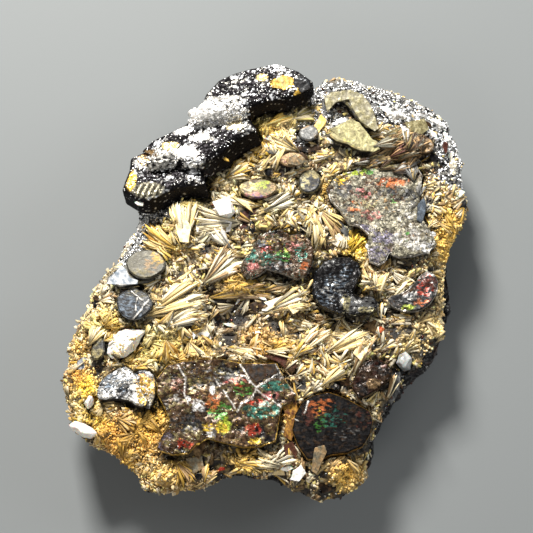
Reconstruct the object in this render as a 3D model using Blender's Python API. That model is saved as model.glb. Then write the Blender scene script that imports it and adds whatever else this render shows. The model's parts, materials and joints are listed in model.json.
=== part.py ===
# Rutile on hematite: a hand specimen lying on its back, with its face up.
# A slab of dark hematite carries a mat of golden rutile sheaves. Thin hematite
# plates, two thick hematite crystals and a few quartz grains are set in the mat.
# +X is the right of the face, +Y its top, and the origin is under the middle.

import math

import bmesh
import bpy
from mathutils import Matrix, Vector, noise

# Lengths in this file are millimetres, and MM turns them into metres.
MM = 0.001
GAP = 0.3  # between a crystal and the pocket that it sits in
PIN_HEIGHT = 4.0  # how far a pocket is cut open above its crystal

FACE_LEVEL = 7.0  # the mat's surface over the resting face
SEAM_LEVEL = 4.3  # where the rutile mat begins on the hematite
MAT_RIM_DROP = 1.0
RESTING_SHARE = 0.5  # share of the way to the rim that the flat spot reaches
BACK_RIM_LEVEL = 1.9

BODY_CENTRE = (-0.6, -1.9)
ORIGIN_SHIFT = (0.1, -0.3, 0.0)  # puts the origin under the middle of the specimen

# The rim of the rutile mat as seen on the face, anticlockwise from the notch at the top
MAT_RIM = [
    (4.7, 18.8), (3.2, 18.9), (1.2, 19.3), (-1.2, 19.1), (-3.4, 18.1), (-5.3, 16.5),
    (-7.4, 14.7), (-9.4, 13.3), (-11.0, 11.9), (-12.0, 10.2), (-12.3, 8.2),
    (-12.2, 6.4), (-12.5, 4.8), (-13.5, 3.2), (-14.8, 1.6), (-15.6, 0.5),
    (-16.4, -0.9), (-16.8, -2.3), (-17.5, -3.6), (-18.2, -4.9), (-18.7, -6.3),
    (-18.7, -7.8), (-19.1, -9.4), (-19.0, -10.9), (-18.5, -12.0), (-18.2, -12.8),
    (-18.4, -13.5), (-17.4, -14.3), (-15.9, -15.5), (-14.2, -16.3), (-12.6, -17.2),
    (-12.0, -18.2), (-11.6, -19.3), (-9.7, -19.7), (-8.0, -19.4), (-6.2, -19.2),
    (-4.6, -18.5), (-2.4, -17.8), (-0.4, -17.8), (1.1, -18.4), (2.4, -19.3),
    (3.6, -20.0), (4.9, -20.4), (6.5, -20.1), (7.8, -19.6), (8.9, -18.7),
    (9.3, -17.6), (9.4, -16.0), (9.8, -14.2), (10.5, -12.6), (11.6, -11.0),
    (12.7, -9.2), (14.0, -7.8), (15.4, -6.6), (16.3, -5.0), (16.5, -3.1),
    (16.7, -0.9), (16.9, 1.0), (17.1, 2.6), (17.7, 4.4), (18.7, 6.1), (18.9, 7.7),
    (18.6, 9.6), (18.5, 12.0), (17.8, 14.2), (17.3, 15.9), (15.9, 16.9),
    (14.3, 17.7), (12.6, 18.4), (10.7, 19.1), (8.7, 19.7), (6.8, 20.1), (5.4, 19.9),
]

# The rim of the hematite slab. It stands out from under the mat at the lower right
SLAB_RIM = [
    (3.9, 18.2), (0.5, 18.4), (-2.6, 17.2), (-4.8, 15.6), (-6.8, 13.9), (-8.9, 12.6),
    (-10.8, 10.8), (-11.6, 8.4), (-11.9, 5.8), (-12.6, 3.6), (-14.4, 1.5),
    (-15.8, -0.7), (-16.6, -2.9), (-17.6, -5.3), (-18.2, -8.2), (-18.3, -10.8),
    (-17.5, -13.0), (-16.2, -14.4), (-14.2, -15.5), (-12.3, -16.8), (-11.2, -18.4),
    (-9.6, -18.8), (-6.8, -18.6), (-4.6, -18.0), (-2.0, -18.2), (0.5, -18.6),
    (2.8, -19.3), (4.9, -19.7), (6.8, -19.4), (8.8, -18.6), (9.7, -17.2),
    (9.9, -15.4), (10.6, -13.4), (11.8, -11.6), (13.2, -10.0), (14.8, -8.3),
    (16.2, -6.4), (16.9, -4.4), (17.3, -2.6), (17.5, -0.9), (17.3, 0.8),
    (17.1, 2.4), (17.6, 4.8), (18.2, 7.2), (18.2, 10.0), (17.6, 13.4),
    (16.2, 15.6), (13.4, 17.2), (9.6, 18.4), (6.4, 18.9),
]

# Swells and hollows of the mat's surface: x, y, radius, height
SWELLS = {
    "shoulder under the thick crystals": (-8.2, 9.2, 3.4, 0.9),
    "shoulder by the notch": (-2.2, 14.6, 3.6, 0.9),
    "upper right shoulder": (11.0, 15.0, 4.5, 0.5),
    "right rim mound": (16.0, 6.5, 3.0, 0.5),
    "left mound": (-11.5, -3.0, 3.6, 0.5),
    "dark hollow in the middle": (-4.2, -3.8, 2.6, -1.0),
    "hollow under the lobed plate": (1.6, -1.4, 2.4, -0.4),
    "left end of the trough": (-10.5, -7.2, 2.2, -0.6),
    "right end of the trough": (-6.6, -6.6, 1.9, -0.5),
    "lower left mound": (-14.6, -13.6, 3.2, 0.6),
    "saddle by the black oval": (6.6, -5.0, 2.4, -0.5),
    "lower right mound": (6.6, -18.0, 2.2, 0.3),
}
LUMP_HEIGHT, LUMP_SIZE = 0.55, 3.1

# Sheaves of rutile blades: root x, root y, heading and spread in degrees, length, rise
SHEAVES = [
    (4.4, 7.2, -95, 56, 3.7, 0.7), (3.2, 7.0, -128, 44, 3.2, 0.5),
    (-2.8, 4.6, 27, 34, 3.9, 0.8), (-8.6, 6.9, -82, 40, 3.7, 0.8),
    (-12.0, 5.2, -24, 40, 4.2, 0.7), (-7.2, 3.0, -20, 44, 4.2, 0.6),
    (-6.1, -1.3, 22, 36, 5.4, 0.8), (-11.4, -0.9, -14, 44, 6.2, 0.8),
    (-9.8, -5.1, 24, 26, 4.9, 0.7), (-0.6, -3.7, 29, 30, 5.2, 0.9),
    (-2.2, -6.8, 88, 44, 2.6, 0.6), (2.0, -7.4, 41, 28, 4.2, 0.7),
    (5.2, -6.8, 24, 30, 4.0, 0.8), (8.3, -8.6, 74, 30, 3.6, 0.7),
    (10.6, -2.0, 102, 76, 3.0, 0.7), (4.0, -8.8, -42, 40, 3.2, 0.6),
    (-11.0, -6.3, -56, 50, 2.4, 0.5), (-8.4, -16.6, -118, 56, 2.5, 0.6),
    (-4.0, -16.4, -18, 30, 4.2, 0.5), (-0.6, -18.2, 42, 46, 2.8, 0.5),
    (8.0, -16.4, 206, 40, 3.2, 0.5), (-17.4, -6.4, 44, 40, 3.2, 0.5),
    (-0.8, 14.2, 34, 30, 4.4, 0.6), (-16.0, -3.4, 14, 40, 3.0, 0.5),
    (13.4, 1.8, -60, 50, 3.0, 0.5), (15.6, 10.6, 80, 60, 3.2, 0.5),
]
SHEAF_RIDGES = 5

# Thin tabular crystals. Each node is one or more plates grown together, and each
# plate has its outline on the face, its thickness, the tilt that lifts its lower
# edge, the side that the lifted edge turns to, and its height over the mat.
PLATES = {
    "large_plate": {
        "finish": "grey_plate",
        "plates": [
            {
                "outline": [
                    (5.6, 8.7), (6.2, 9.7), (7.3, 10.4), (9.2, 10.8), (11.2, 11.0),
                    (13.0, 11.5), (14.2, 11.3), (14.7, 10.1), (14.4, 8.6), (14.3, 7.1),
                    (14.7, 5.5), (15.5, 4.2), (15.8, 3.2), (15.0, 2.5), (13.7, 2.1),
                    (12.3, 2.0), (11.4, 2.4), (11.0, 1.6), (10.3, 1.2), (9.5, 1.6),
                    (9.3, 2.9), (9.5, 4.2), (8.6, 5.1), (7.6, 5.3), (6.8, 6.7), (5.9, 7.7),
                ],
                "thickness": 0.8, "tilt": 8, "turn": 0, "lift": 0.45,
            },
        ],
    },
    "brown_flake": {
        "finish": "brown_plate",
        "plates": [
            {
                "outline": [
                    (12.6, 12.6), (13.2, 13.6), (14.1, 14.1), (15.2, 13.7),
                    (15.8, 12.9), (15.3, 12.1), (14.0, 12.2), (13.0, 12.2),
                ],
                "thickness": 0.8, "tilt": 6, "turn": 20, "lift": 0.35,
            },
        ],
    },
    "lobed_plate": {
        "finish": "black_plate",
        "plates": [
            {
                "outline": [
                    (-2.6, 1.0), (-2.3, 0.3), (-1.6, 0.0), (-0.8, 0.3), (-0.1, 0.9),
                    (0.8, 0.7), (1.8, 0.3), (2.7, -0.1), (3.6, 0.3), (4.1, 1.3),
                    (4.3, 2.7), (4.0, 3.7), (3.2, 4.4), (2.1, 4.3), (1.1, 4.8),
                    (-0.2, 4.5), (-1.1, 3.6), (-1.7, 2.5), (-2.3, 1.8),
                ],
                "thickness": 0.7, "tilt": 9, "turn": 0, "lift": 0.45,
            },
        ],
    },
    "black_oval_plate": {
        "finish": "black_plate",
        "plates": [
            {
                "outline": [
                    (4.1, -0.6), (4.4, 0.7), (5.2, 1.7), (6.4, 2.2), (7.7, 2.2),
                    (8.6, 1.6), (8.7, 0.7), (8.3, -0.6), (7.6, -1.7), (7.4, -2.9),
                    (7.0, -3.5), (6.0, -3.2), (4.9, -2.6), (4.2, -1.6),
                ],
                "thickness": 1.0, "tilt": 12, "turn": -10, "lift": 0.7,
            },
            {
                "outline": [
                    (7.0, -2.6), (7.2, -1.8), (8.0, -1.4), (8.7, -1.8), (9.3, -1.6),
                    (10.0, -1.9), (10.2, -2.7), (9.7, -3.3), (8.9, -3.3), (8.0, -3.6),
                    (7.3, -3.3),
                ],
                "thickness": 0.9, "tilt": 10, "turn": 0, "lift": 0.9,
            },
        ],
    },
    "rainbow_edge_plate": {
        "finish": "black_plate",
        "plates": [
            {
                "outline": [
                    (11.2, -1.9), (12.0, -2.8), (13.2, -3.1), (14.4, -2.9), (15.3, -2.1),
                    (15.9, -0.9), (15.7, 0.4), (14.9, 0.8), (14.0, 0.0), (13.2, -0.9),
                    (12.2, -1.4),
                ],
                "thickness": 0.7, "tilt": 10, "turn": 15, "lift": 0.4,
            },
        ],
    },
    "cracked_plate": {
        "finish": "brown_plate",
        "plates": [
            {
                "outline": [
                    (-10.3, -9.2), (-9.4, -8.0), (-7.9, -7.6), (-6.2, -7.5), (-4.3, -7.4),
                    (-2.6, -7.8), (-0.8, -7.8), (0.8, -7.8), (1.6, -9.4), (2.6, -10.7),
                    (2.3, -11.5), (1.3, -12.0), (1.0, -13.4), (0.7, -15.1), (-0.6, -15.6),
                    (-2.3, -15.7), (-3.9, -15.3), (-5.5, -14.9), (-6.6, -15.5),
                    (-7.3, -16.3), (-8.8, -16.4), (-10.2, -15.9), (-9.8, -14.7),
                    (-9.0, -13.4), (-9.6, -12.0), (-10.3, -10.7),
                ],
                "thickness": 0.9, "tilt": 7, "turn": 0, "lift": 0.45,
            },
        ],
    },
    "black_plate": {
        "finish": "black_plate",
        "plates": [
            {
                "outline": [
                    (2.5, -12.6), (3.1, -11.5), (4.2, -10.8), (5.6, -10.5), (7.0, -11.0),
                    (8.3, -11.7), (9.4, -12.3), (9.7, -13.3), (9.4, -14.5), (8.7, -15.6),
                    (7.3, -16.2), (5.8, -16.4), (4.7, -16.8), (3.6, -16.8), (2.7, -15.5),
                    (2.2, -14.1),
                ],
                "thickness": 0.9, "tilt": 8, "turn": 0, "lift": 0.35,
            },
        ],
    },
    "brown_plate": {
        "finish": "brown_plate",
        "plates": [
            {
                "outline": [
                    (7.8, -10.0), (8.1, -9.0), (8.8, -8.0), (10.0, -7.5), (11.1, -8.0),
                    (11.5, -8.9), (10.8, -9.8), (9.8, -10.6), (8.8, -11.1), (8.2, -10.9),
                ],
                "thickness": 0.9, "tilt": 10, "turn": 20, "lift": 0.5,
            },
        ],
    },
    "olive_disc_plate": {
        "finish": "grey_plate",
        "plates": [
            {
                "outline": [
                    (-15.1, -0.3), (-14.5, 0.6), (-13.6, 1.4), (-12.4, 1.7), (-11.1, 1.0),
                    (-10.7, 0.0), (-12.0, -0.4),
                ],
                "thickness": 0.5, "tilt": 12, "turn": -8, "lift": 0.35,
            },
            {
                "outline": [
                    (-13.3, 1.4), (-12.9, 2.3), (-11.8, 2.8), (-10.6, 2.7), (-9.8, 2.0),
                    (-9.6, 1.1), (-10.3, 0.3), (-11.4, -0.1), (-12.6, 0.3),
                ],
                "thickness": 0.6, "tilt": 12, "turn": 8, "lift": 0.75,
            },
        ],
    },
    "dark_disc_plate": {
        "finish": "grey_plate",
        "plates": [
            {
                "outline": [
                    (-14.1, -2.3), (-13.8, -1.4), (-12.9, -1.0), (-11.8, -1.1),
                    (-11.0, -1.7), (-10.8, -2.6), (-11.3, -3.4), (-12.4, -3.9), (-13.5, -3.5),
                ],
                "thickness": 0.6, "tilt": 8, "turn": 0, "lift": 0.4,
            },
        ],
    },
    "silver_plate": {
        "finish": "silver_plate",
        "plates": [
            {
                "outline": [
                    (-15.7, -10.5), (-15.3, -9.4), (-14.4, -8.7), (-13.3, -8.2),
                    (-12.6, -8.6), (-12.0, -9.7), (-11.5, -10.9), (-11.0, -11.6),
                    (-11.6, -12.1), (-12.8, -11.5), (-14.3, -11.3), (-15.5, -11.3),
                ],
                "thickness": 0.9, "tilt": 16, "turn": 0, "lift": 0.5,
            },
            {
                "outline": [
                    (-12.6, -9.0), (-11.5, -8.5), (-10.6, -9.0), (-10.4, -10.1),
                    (-10.6, -11.5), (-11.1, -12.1), (-11.8, -11.3), (-12.2, -10.3),
                ],
                "thickness": 0.8, "tilt": 8, "turn": 30, "lift": 0.3,
            },
        ],
    },
    "folded_olive_plate": {
        "finish": "olive_plate",
        "plates": [
            {
                "outline": [
                    (5.5, 16.8), (5.6, 17.7), (6.8, 18.2), (8.3, 18.2), (9.4, 17.6),
                    (10.0, 16.4), (10.3, 15.1), (9.9, 14.4), (8.8, 15.1), (8.0, 16.2),
                    (7.1, 17.2), (6.2, 17.1),
                ],
                "thickness": 0.6, "tilt": 10, "turn": -30, "lift": 0.4,
            },
        ],
    },
    "lower_olive_plate": {
        "finish": "olive_plate",
        "plates": [
            {
                "outline": [
                    (5.8, 13.7), (6.5, 14.7), (7.4, 15.1), (8.3, 14.6), (9.4, 13.7),
                    (10.8, 12.9), (10.0, 12.3), (8.8, 12.2), (7.5, 12.9),
                ],
                "thickness": 0.7, "tilt": 14, "turn": -25, "lift": 0.5,
            },
        ],
    },
    "small_dark_disc": {
        "finish": "black_plate",
        "plates": [
            {
                "outline": [
                    (2.9, 9.4), (3.2, 10.3), (4.0, 10.7), (4.7, 10.4), (5.0, 9.5),
                    (4.7, 8.7), (3.9, 8.3), (3.1, 8.6),
                ],
                "thickness": 0.6, "tilt": 12, "turn": 0, "lift": 0.5,
            },
        ],
    },
    "yellow_disc": {
        "finish": "olive_plate",
        "plates": [
            {
                "outline": [
                    (-2.8, 8.9), (-2.2, 9.5), (-0.9, 9.8), (0.4, 9.5), (0.9, 8.9),
                    (0.4, 8.1), (-0.9, 7.7), (-2.2, 8.0),
                ],
                "thickness": 0.5, "tilt": 14, "turn": 0, "lift": 0.4,
            },
        ],
    },
    "red_brown_disc": {
        "finish": "brown_plate",
        "plates": [
            {
                "outline": [
                    (1.1, 11.5), (1.6, 12.1), (2.5, 12.3), (3.4, 11.8), (3.2, 11.2),
                    (2.3, 10.8), (1.4, 11.0),
                ],
                "thickness": 0.5, "tilt": 12, "turn": 0, "lift": 0.4,
            },
        ],
    },
    "grey_disc": {
        "finish": "grey_plate",
        "plates": [
            {
                "outline": [
                    (2.9, 14.1), (3.4, 14.8), (4.2, 15.0), (4.8, 14.4), (4.5, 13.6),
                    (3.6, 13.4),
                ],
                "thickness": 0.5, "tilt": 10, "turn": 0, "lift": 0.4,
            },
        ],
    },
    "olive_shard": {
        "finish": "grey_plate",
        "plates": [
            {
                "outline": [
                    (-16.5, -6.9), (-16.0, -5.9), (-15.5, -5.4), (-15.2, -6.2),
                    (-15.4, -7.3), (-16.1, -7.6),
                ],
                "thickness": 0.6, "tilt": 10, "turn": 0, "lift": 0.4,
            },
        ],
    },
}
PLATE_BEVEL = 0.13

# Thick tabular crystals at the upper left, grown into one another. An outline is in the
# crystal's own plane, along and across it, and the place is the middle of its upper face.
CRYSTALS = {
    "thick_crystals": [
        {
            "outline": [
                (-4.2, -0.6), (-3.7, 0.5), (-3.1, 1.7), (-2.7, 3.2), (-1.1, 3.6),
                (0.3, 2.7), (2.4, 1.0), (3.6, -1.2), (3.6, -2.6), (2.2, -2.2),
                (0.8, -2.0), (-0.6, -2.4), (-1.8, -2.7), (-3.0, -2.3),
            ],
            "place": (-9.9, 10.2, 8.2), "thickness": 2.6, "tilt": 30, "heading": 15,
        },
        {
            "outline": [
                (-5.3, 2.6), (-3.9, 3.1), (-2.0, 2.9), (-0.4, 2.8), (1.1, 3.2),
                (3.0, 2.4), (4.6, 0.6), (5.0, -1.0), (4.9, -2.3), (3.8, -2.2),
                (2.4, -2.2), (1.1, -2.6), (-0.8, -2.7), (-2.3, -2.4), (-3.4, -0.8),
                (-4.4, 0.8),
            ],
            "place": (-6.4, 13.4, 8.7), "thickness": 2.8, "tilt": 30, "heading": 30,
        },
        {
            "outline": [
                (-5.8, -0.9), (-5.0, 0.7), (-3.4, 2.2), (-1.8, 2.6), (-0.1, 2.7),
                (2.6, 2.5), (4.2, 0.8), (5.2, -1.1), (4.0, -2.0), (2.2, -2.3),
                (0.4, -2.0), (-1.1, -2.2), (-2.1, -2.7), (-3.7, -2.4),
            ],
            "place": (-1.0, 18.6, 8.8), "thickness": 2.3, "tilt": 30, "heading": 14,
        },
    ],
}
CRYSTAL_BEVEL = 0.35

# Quartz grains: outline on the face, and height over the mat
GRAINS = {
    "quartz_left": {
        "outline": [
            (-15.1, -7.0), (-14.8, -5.8), (-13.9, -4.9), (-13.2, -4.4), (-11.4, -4.7),
            (-11.7, -5.4), (-12.4, -6.4), (-13.3, -7.4), (-14.6, -7.5),
        ],
        "height": 1.1,
    },
    "quartz_lower_left": {
        "outline": [
            (-18.3, -13.6), (-17.8, -13.1), (-16.7, -13.4), (-15.9, -14.3),
            (-16.2, -14.9), (-17.1, -14.6), (-18.0, -14.0),
        ],
        "height": 0.9,
    },
    "quartz_corner": {
        "outline": [
            (-17.1, -11.6), (-16.6, -10.9), (-16.1, -10.8), (-16.1, -11.6), (-16.6, -12.2),
        ],
        "height": 0.9,
    },
    "quartz_upper": {
        "outline": [
            (-5.3, 6.8), (-4.3, 7.5), (-3.2, 7.5), (-3.1, 6.5), (-3.7, 5.8), (-4.7, 6.3),
        ],
        "height": 1.0,
    },
    "quartz_right": {
        "outline": [
            (12.0, -7.8), (12.2, -6.9), (12.9, -6.7), (13.5, -7.3), (13.3, -8.3), (12.7, -8.7),
        ],
        "height": 0.9,
    },
    "quartz_bottom": {
        "outline": [(1.9, -18.7), (2.3, -17.8), (2.9, -17.3), (3.4, -17.7), (2.9, -18.5)],
        "height": 0.9,
    },
}
GRAIN_DEPTH = 0.9  # how deep a grain sits in the mat

# Each finish: colour, roughness, metallic
FINISHES = {
    "hematite": ((0.035, 0.033, 0.034), 0.45, 0.6),
    "rutile": ((0.62, 0.42, 0.16), 0.5, 0.1),
    "grey_plate": ((0.22, 0.21, 0.19), 0.35, 0.7),
    "black_plate": ((0.03, 0.03, 0.035), 0.25, 0.7),
    "brown_plate": ((0.11, 0.08, 0.065), 0.3, 0.6),
    "silver_plate": ((0.5, 0.5, 0.52), 0.35, 0.7),
    "olive_plate": ((0.42, 0.38, 0.22), 0.4, 0.4),
    "quartz": ((0.85, 0.83, 0.78), 0.3, 0.0),
}


def clear_scene():
    for obj in list(bpy.data.objects):
        bpy.data.objects.remove(obj)


def collection_named(name):
    made = bpy.data.collections.new(name)
    bpy.context.scene.collection.children.link(made)
    return made


def material(name):
    colour, roughness, metallic = FINISHES[name]
    made = bpy.data.materials.get(name)
    if made is None:
        made = bpy.data.materials.new(name)
        made.use_nodes = True
        shader = made.node_tree.nodes["Principled BSDF"]
        shader.inputs["Base Color"].default_value = (*colour, 1.0)
        shader.inputs["Roughness"].default_value = roughness
        shader.inputs["Metallic"].default_value = metallic
    return made


def mesh_object(name, bm, collection):
    bmesh.ops.recalc_face_normals(bm, faces=bm.faces)
    mesh = bpy.data.meshes.new(name)
    bm.to_mesh(mesh)
    bm.free()
    obj = bpy.data.objects.new(name, mesh)
    collection.objects.link(obj)
    return obj


def lumps(x, y, size, height, layer=0.0):
    return height * noise.noise(Vector((x / size, y / size, layer)))


def mat_level(x, y):
    """Height of the rutile mat over the resting face, in millimetres."""
    level = FACE_LEVEL + lumps(x, y, LUMP_SIZE, LUMP_HEIGHT, 4.2)
    for cx, cy, radius, height in SWELLS.values():
        away = ((x - cx) ** 2 + (y - cy) ** 2) / radius**2
        level += height * math.exp(-away)
    return level


def seam_level(x, y):
    """Height of the contact between the hematite and the mat."""
    return SEAM_LEVEL + 0.35 * math.sin(x / 6.5 + 0.6) * math.cos(y / 7.5)


def ring(bm, outline, share, level):
    """One closed ring of vertices, the outline drawn towards the body's centre."""
    cx, cy = BODY_CENTRE
    made = []
    for px, py in outline:
        x, y = cx + (px - cx) * share, cy + (py - cy) * share
        made.append(bm.verts.new((x * MM, y * MM, level(x, y, share) * MM)))
    return made


def join_rings(bm, rings):
    for low, high in zip(rings, rings[1:]):
        for i in range(len(low)):
            j = (i + 1) % len(low)
            bm.faces.new((low[i], low[j], high[j], high[i]))


def cap(bm, last, level):
    """Closes the innermost ring with a vertex at the body's centre."""
    cx, cy = BODY_CENTRE
    middle = bm.verts.new((cx * MM, cy * MM, level(cx, cy, 0.0) * MM))
    for i in range(len(last)):
        bm.faces.new((last[i], last[(i + 1) % len(last)], middle))


def layered_body(name, outline, floor, walls, roof, collection):
    """A slab lofted from its floor's rings, through those of its side, to its roof's."""
    bm = bmesh.new()
    rings = [ring(bm, outline, share, level) for share, level in floor + walls + roof]
    join_rings(bm, rings)
    cap(bm, rings[0], floor[0][1])
    cap(bm, rings[-1], roof[-1][1])
    bmesh.ops.triangulate(bm, faces=bm.faces)
    return mesh_object(name, bm, collection)


def hematite_slab(collection):
    def back(x, y, share):
        if share <= RESTING_SHARE:
            return 0.0
        rise = (share - RESTING_SHARE) / (1.0 - RESTING_SHARE)
        return 0.15 + BACK_RIM_LEVEL * rise**1.5 + abs(lumps(x, y, 2.6, 1.3, 9.0)) * rise

    def side(height):
        return lambda x, y, share: height + lumps(x, y, 1.9, 0.5, 2.0)

    def roof(x, y, share):
        return seam_level(x, y)

    floor = [(share, back) for share in (0.25, RESTING_SHARE, 0.64, 0.78, 0.9)]
    walls = [(0.965, side(2.3)), (0.995, side(3.2))]
    top = [(1.0, roof), (0.8, roof), (0.55, roof), (0.28, roof)]
    made = layered_body("hematite_slab", SLAB_RIM, floor, walls, top, collection)
    made.data.materials.append(material("hematite"))
    return made


def rutile_mat(collection):
    def floor_level(x, y, share):
        return seam_level(x, y) + GAP

    def side(height):
        return lambda x, y, share: height + lumps(x, y, 2.2, 0.5, 6.0)

    def roof(x, y, share):
        drop = MAT_RIM_DROP * max(0.0, (share - 0.82) / 0.18) ** 2
        return mat_level(x, y) - drop

    floor = [(share, floor_level) for share in (0.3, 0.65, 0.97)]
    walls = [(1.005, side(5.3))]
    shares = (1.0, 0.955, 0.89, 0.81, 0.71, 0.6, 0.48, 0.35, 0.2, 0.09)
    top = [(share, roof) for share in shares]
    made = layered_body("rutile_mat", MAT_RIM, floor, walls, top, collection)
    made.data.materials.append(material("rutile"))
    return made


def sheaf(index, helpers):
    """A fan of blades as one solid: a root, and an arc of ridges and grooves."""
    x, y, heading, spread, length, rise = SHEAVES[index]
    bm = bmesh.new()
    root_level = mat_level(x, y)
    foot = root_level - 1.2
    spots = [(x, y, root_level + 0.2)]
    for i in range(SHEAF_RIDGES + 1):
        angle = math.radians(heading - spread / 2 + spread * i / SHEAF_RIDGES)
        ridge = i % 2
        reach = length * (0.86 + 0.14 * ridge + 0.1 * math.sin(2.3 * i + index))
        ax, ay = x + reach * math.cos(angle), y + reach * math.sin(angle)
        spots.append((ax, ay, mat_level(ax, ay) + rise - 0.3 * (1 - ridge)))
    upper = [bm.verts.new((px * MM, py * MM, pz * MM)) for px, py, pz in spots]
    lower = [bm.verts.new((px * MM, py * MM, foot * MM)) for px, py, pz in spots]
    for i in range(1, len(spots) - 1):
        bm.faces.new((upper[0], upper[i], upper[i + 1]))
        bm.faces.new((lower[0], lower[i + 1], lower[i]))
    for i in range(len(spots)):
        j = (i + 1) % len(spots)
        bm.faces.new((upper[i], lower[i], lower[j], upper[j]))
    bmesh.ops.triangulate(bm, faces=bm.faces)
    return mesh_object(f"sheaf_{index}", bm, helpers)


def curve_solid(name, outline, half, bevel, grow, smooth, collection):
    """A flat outline as a solid plate, in its own plane, as a mesh with welded caps."""
    curve = bpy.data.curves.new(name, "CURVE")
    curve.dimensions = "2D"
    curve.fill_mode = "BOTH"
    curve.extrude = (half - bevel) * MM
    curve.bevel_depth = bevel * MM
    curve.bevel_resolution = 0
    curve.offset = (grow - bevel) * MM
    curve.resolution_u = smooth
    spline = curve.splines.new("BEZIER")
    spline.bezier_points.add(len(outline) - 1)
    spline.use_cyclic_u = True
    for point, (x, y) in zip(spline.bezier_points, outline):
        point.co = (x * MM, y * MM, 0.0)
        point.handle_left_type = point.handle_right_type = "AUTO"
    holder = bpy.data.objects.new(name + "_curve", curve)
    collection.objects.link(holder)
    graph = bpy.context.evaluated_depsgraph_get()
    mesh = bpy.data.meshes.new_from_object(holder.evaluated_get(graph))
    bpy.data.objects.remove(holder)
    bm = bmesh.new()
    bm.from_mesh(mesh)
    bmesh.ops.remove_doubles(bm, verts=bm.verts, dist=0.001 * MM)
    bmesh.ops.triangulate(bm, faces=bm.faces)
    bpy.data.meshes.remove(mesh)
    return mesh_object(name, bm, collection)


def middle_of(outline):
    xs, ys = [p[0] for p in outline], [p[1] for p in outline]
    return (min(xs) + max(xs)) / 2, (min(ys) + max(ys)) / 2


def plate_solids(name, spec, helpers):
    """The plate, and the pocket that it needs in the mat."""
    cx, cy = middle_of(spec["outline"])
    outline = [(x - cx, y - cy) for x, y in spec["outline"]]
    level = mat_level(cx, cy) + spec["lift"]
    turned = Matrix.Rotation(math.radians(spec["turn"]), 4, "Z")
    tilted = turned @ Matrix.Rotation(-math.radians(spec["tilt"]), 4, "X") @ turned.inverted()
    place = Matrix.Translation(Vector((cx, cy, level)) * MM) @ tilted
    smooth = 2 if len(outline) < 13 else 1
    half = spec["thickness"] / 2
    return solid_and_pocket(name, outline, half, PLATE_BEVEL, smooth, place, helpers)


def crystal_solids(name, spec, helpers):
    heading = Matrix.Rotation(math.radians(spec["heading"]), 4, "Z")
    tilted = heading @ Matrix.Rotation(-math.radians(spec["tilt"]), 4, "X")
    half = spec["thickness"] / 2
    upper_face = Matrix.Translation(Vector(spec["place"]) * MM) @ tilted
    place = upper_face @ Matrix.Translation((0.0, 0.0, -half * MM))
    return solid_and_pocket(name, spec["outline"], half, CRYSTAL_BEVEL, 1, place, helpers)


def solid_and_pocket(name, outline, half, bevel, smooth, place, helpers):
    body = curve_solid(name, outline, half, bevel, 0.0, smooth, helpers)
    body.matrix_world = place
    tall = (half + GAP + half + PIN_HEIGHT) / 2
    pocket = curve_solid(name + "_pocket", outline, tall, 0.0, GAP, smooth, helpers)
    pocket.matrix_world = place @ Matrix.Translation((0.0, 0.0, (tall - half - GAP) * MM))
    return body, pocket


def grain_hull(name, outline, height, grow, collection):
    """A faceted grain: the hull of its outline at three levels."""
    cx, cy = middle_of(outline)
    level = mat_level(cx, cy)
    bm = bmesh.new()
    tiers = ((-GRAIN_DEPTH - grow, 0.7), (0.35 * height, 1.0), (height, 0.55))
    for number, (rise, share) in enumerate(tiers):
        for i, (px, py) in enumerate(outline):
            wobble = 0.12 * math.sin(3.1 * i + 2.0 * number + px)
            reach = share + wobble * share
            away = Vector((px - cx, py - cy)) * reach
            if away.length > 0:
                away += away.normalized() * grow
            z = level + rise + (0.15 * math.cos(2.2 * i + px) if number == 2 else 0.0)
            bm.verts.new(((cx + away.x) * MM, (cy + away.y) * MM, z * MM))
    hull = bmesh.ops.convex_hull(bm, input=bm.verts)
    inside = [v for v in hull["geom_interior"] if isinstance(v, bmesh.types.BMVert)]
    bmesh.ops.delete(bm, geom=inside, context="VERTS")
    bmesh.ops.triangulate(bm, faces=bm.faces)
    return mesh_object(name, bm, collection)


def apply_boolean(target, other, operation):
    """Joins or cuts target with other, and keeps the result as target's own mesh."""
    modifier = target.modifiers.new(operation.lower(), "BOOLEAN")
    modifier.operation = operation
    modifier.solver = "EXACT"
    modifier.object = other
    bpy.context.view_layer.update()
    graph = bpy.context.evaluated_depsgraph_get()
    mesh = bpy.data.meshes.new_from_object(target.evaluated_get(graph))
    target.modifiers.clear()
    old = target.data
    target.data = mesh
    bpy.data.meshes.remove(old)


def drop_islands(obj):
    """Keeps the largest body, and drops the chips that a cut left loose."""
    bm = bmesh.new()
    bm.from_mesh(obj.data)
    bmesh.ops.remove_doubles(bm, verts=bm.verts, dist=0.002 * MM)
    left = set(bm.faces)
    islands = []
    while left:
        front, island = [left.pop()], []
        while front:
            face = front.pop()
            island.append(face)
            for edge in face.edges:
                for near in edge.link_faces:
                    if near in left:
                        left.remove(near)
                        front.append(near)
        islands.append(island)
    islands.sort(key=len)
    chips = [face for island in islands[:-1] for face in island]
    bmesh.ops.delete(bm, geom=chips, context="FACES")
    bmesh.ops.triangulate(bm, faces=bm.faces)
    bm.to_mesh(obj.data)
    bm.free()


def grown_together(name, specs, maker, finish, specimen, helpers):
    """One node from the plates or crystals of a group, and their pockets."""
    pairs = [maker(f"{name}_{i}", spec, helpers) for i, spec in enumerate(specs)]
    node = pairs[0][0]
    for other, _ in pairs[1:]:
        apply_boolean(node, other, "UNION")
        bpy.data.objects.remove(other)
    helpers.objects.unlink(node)
    specimen.objects.link(node)
    node.name = name
    node.data.materials.clear()
    node.data.materials.append(material(finish))
    return [pocket for _, pocket in pairs]


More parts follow.
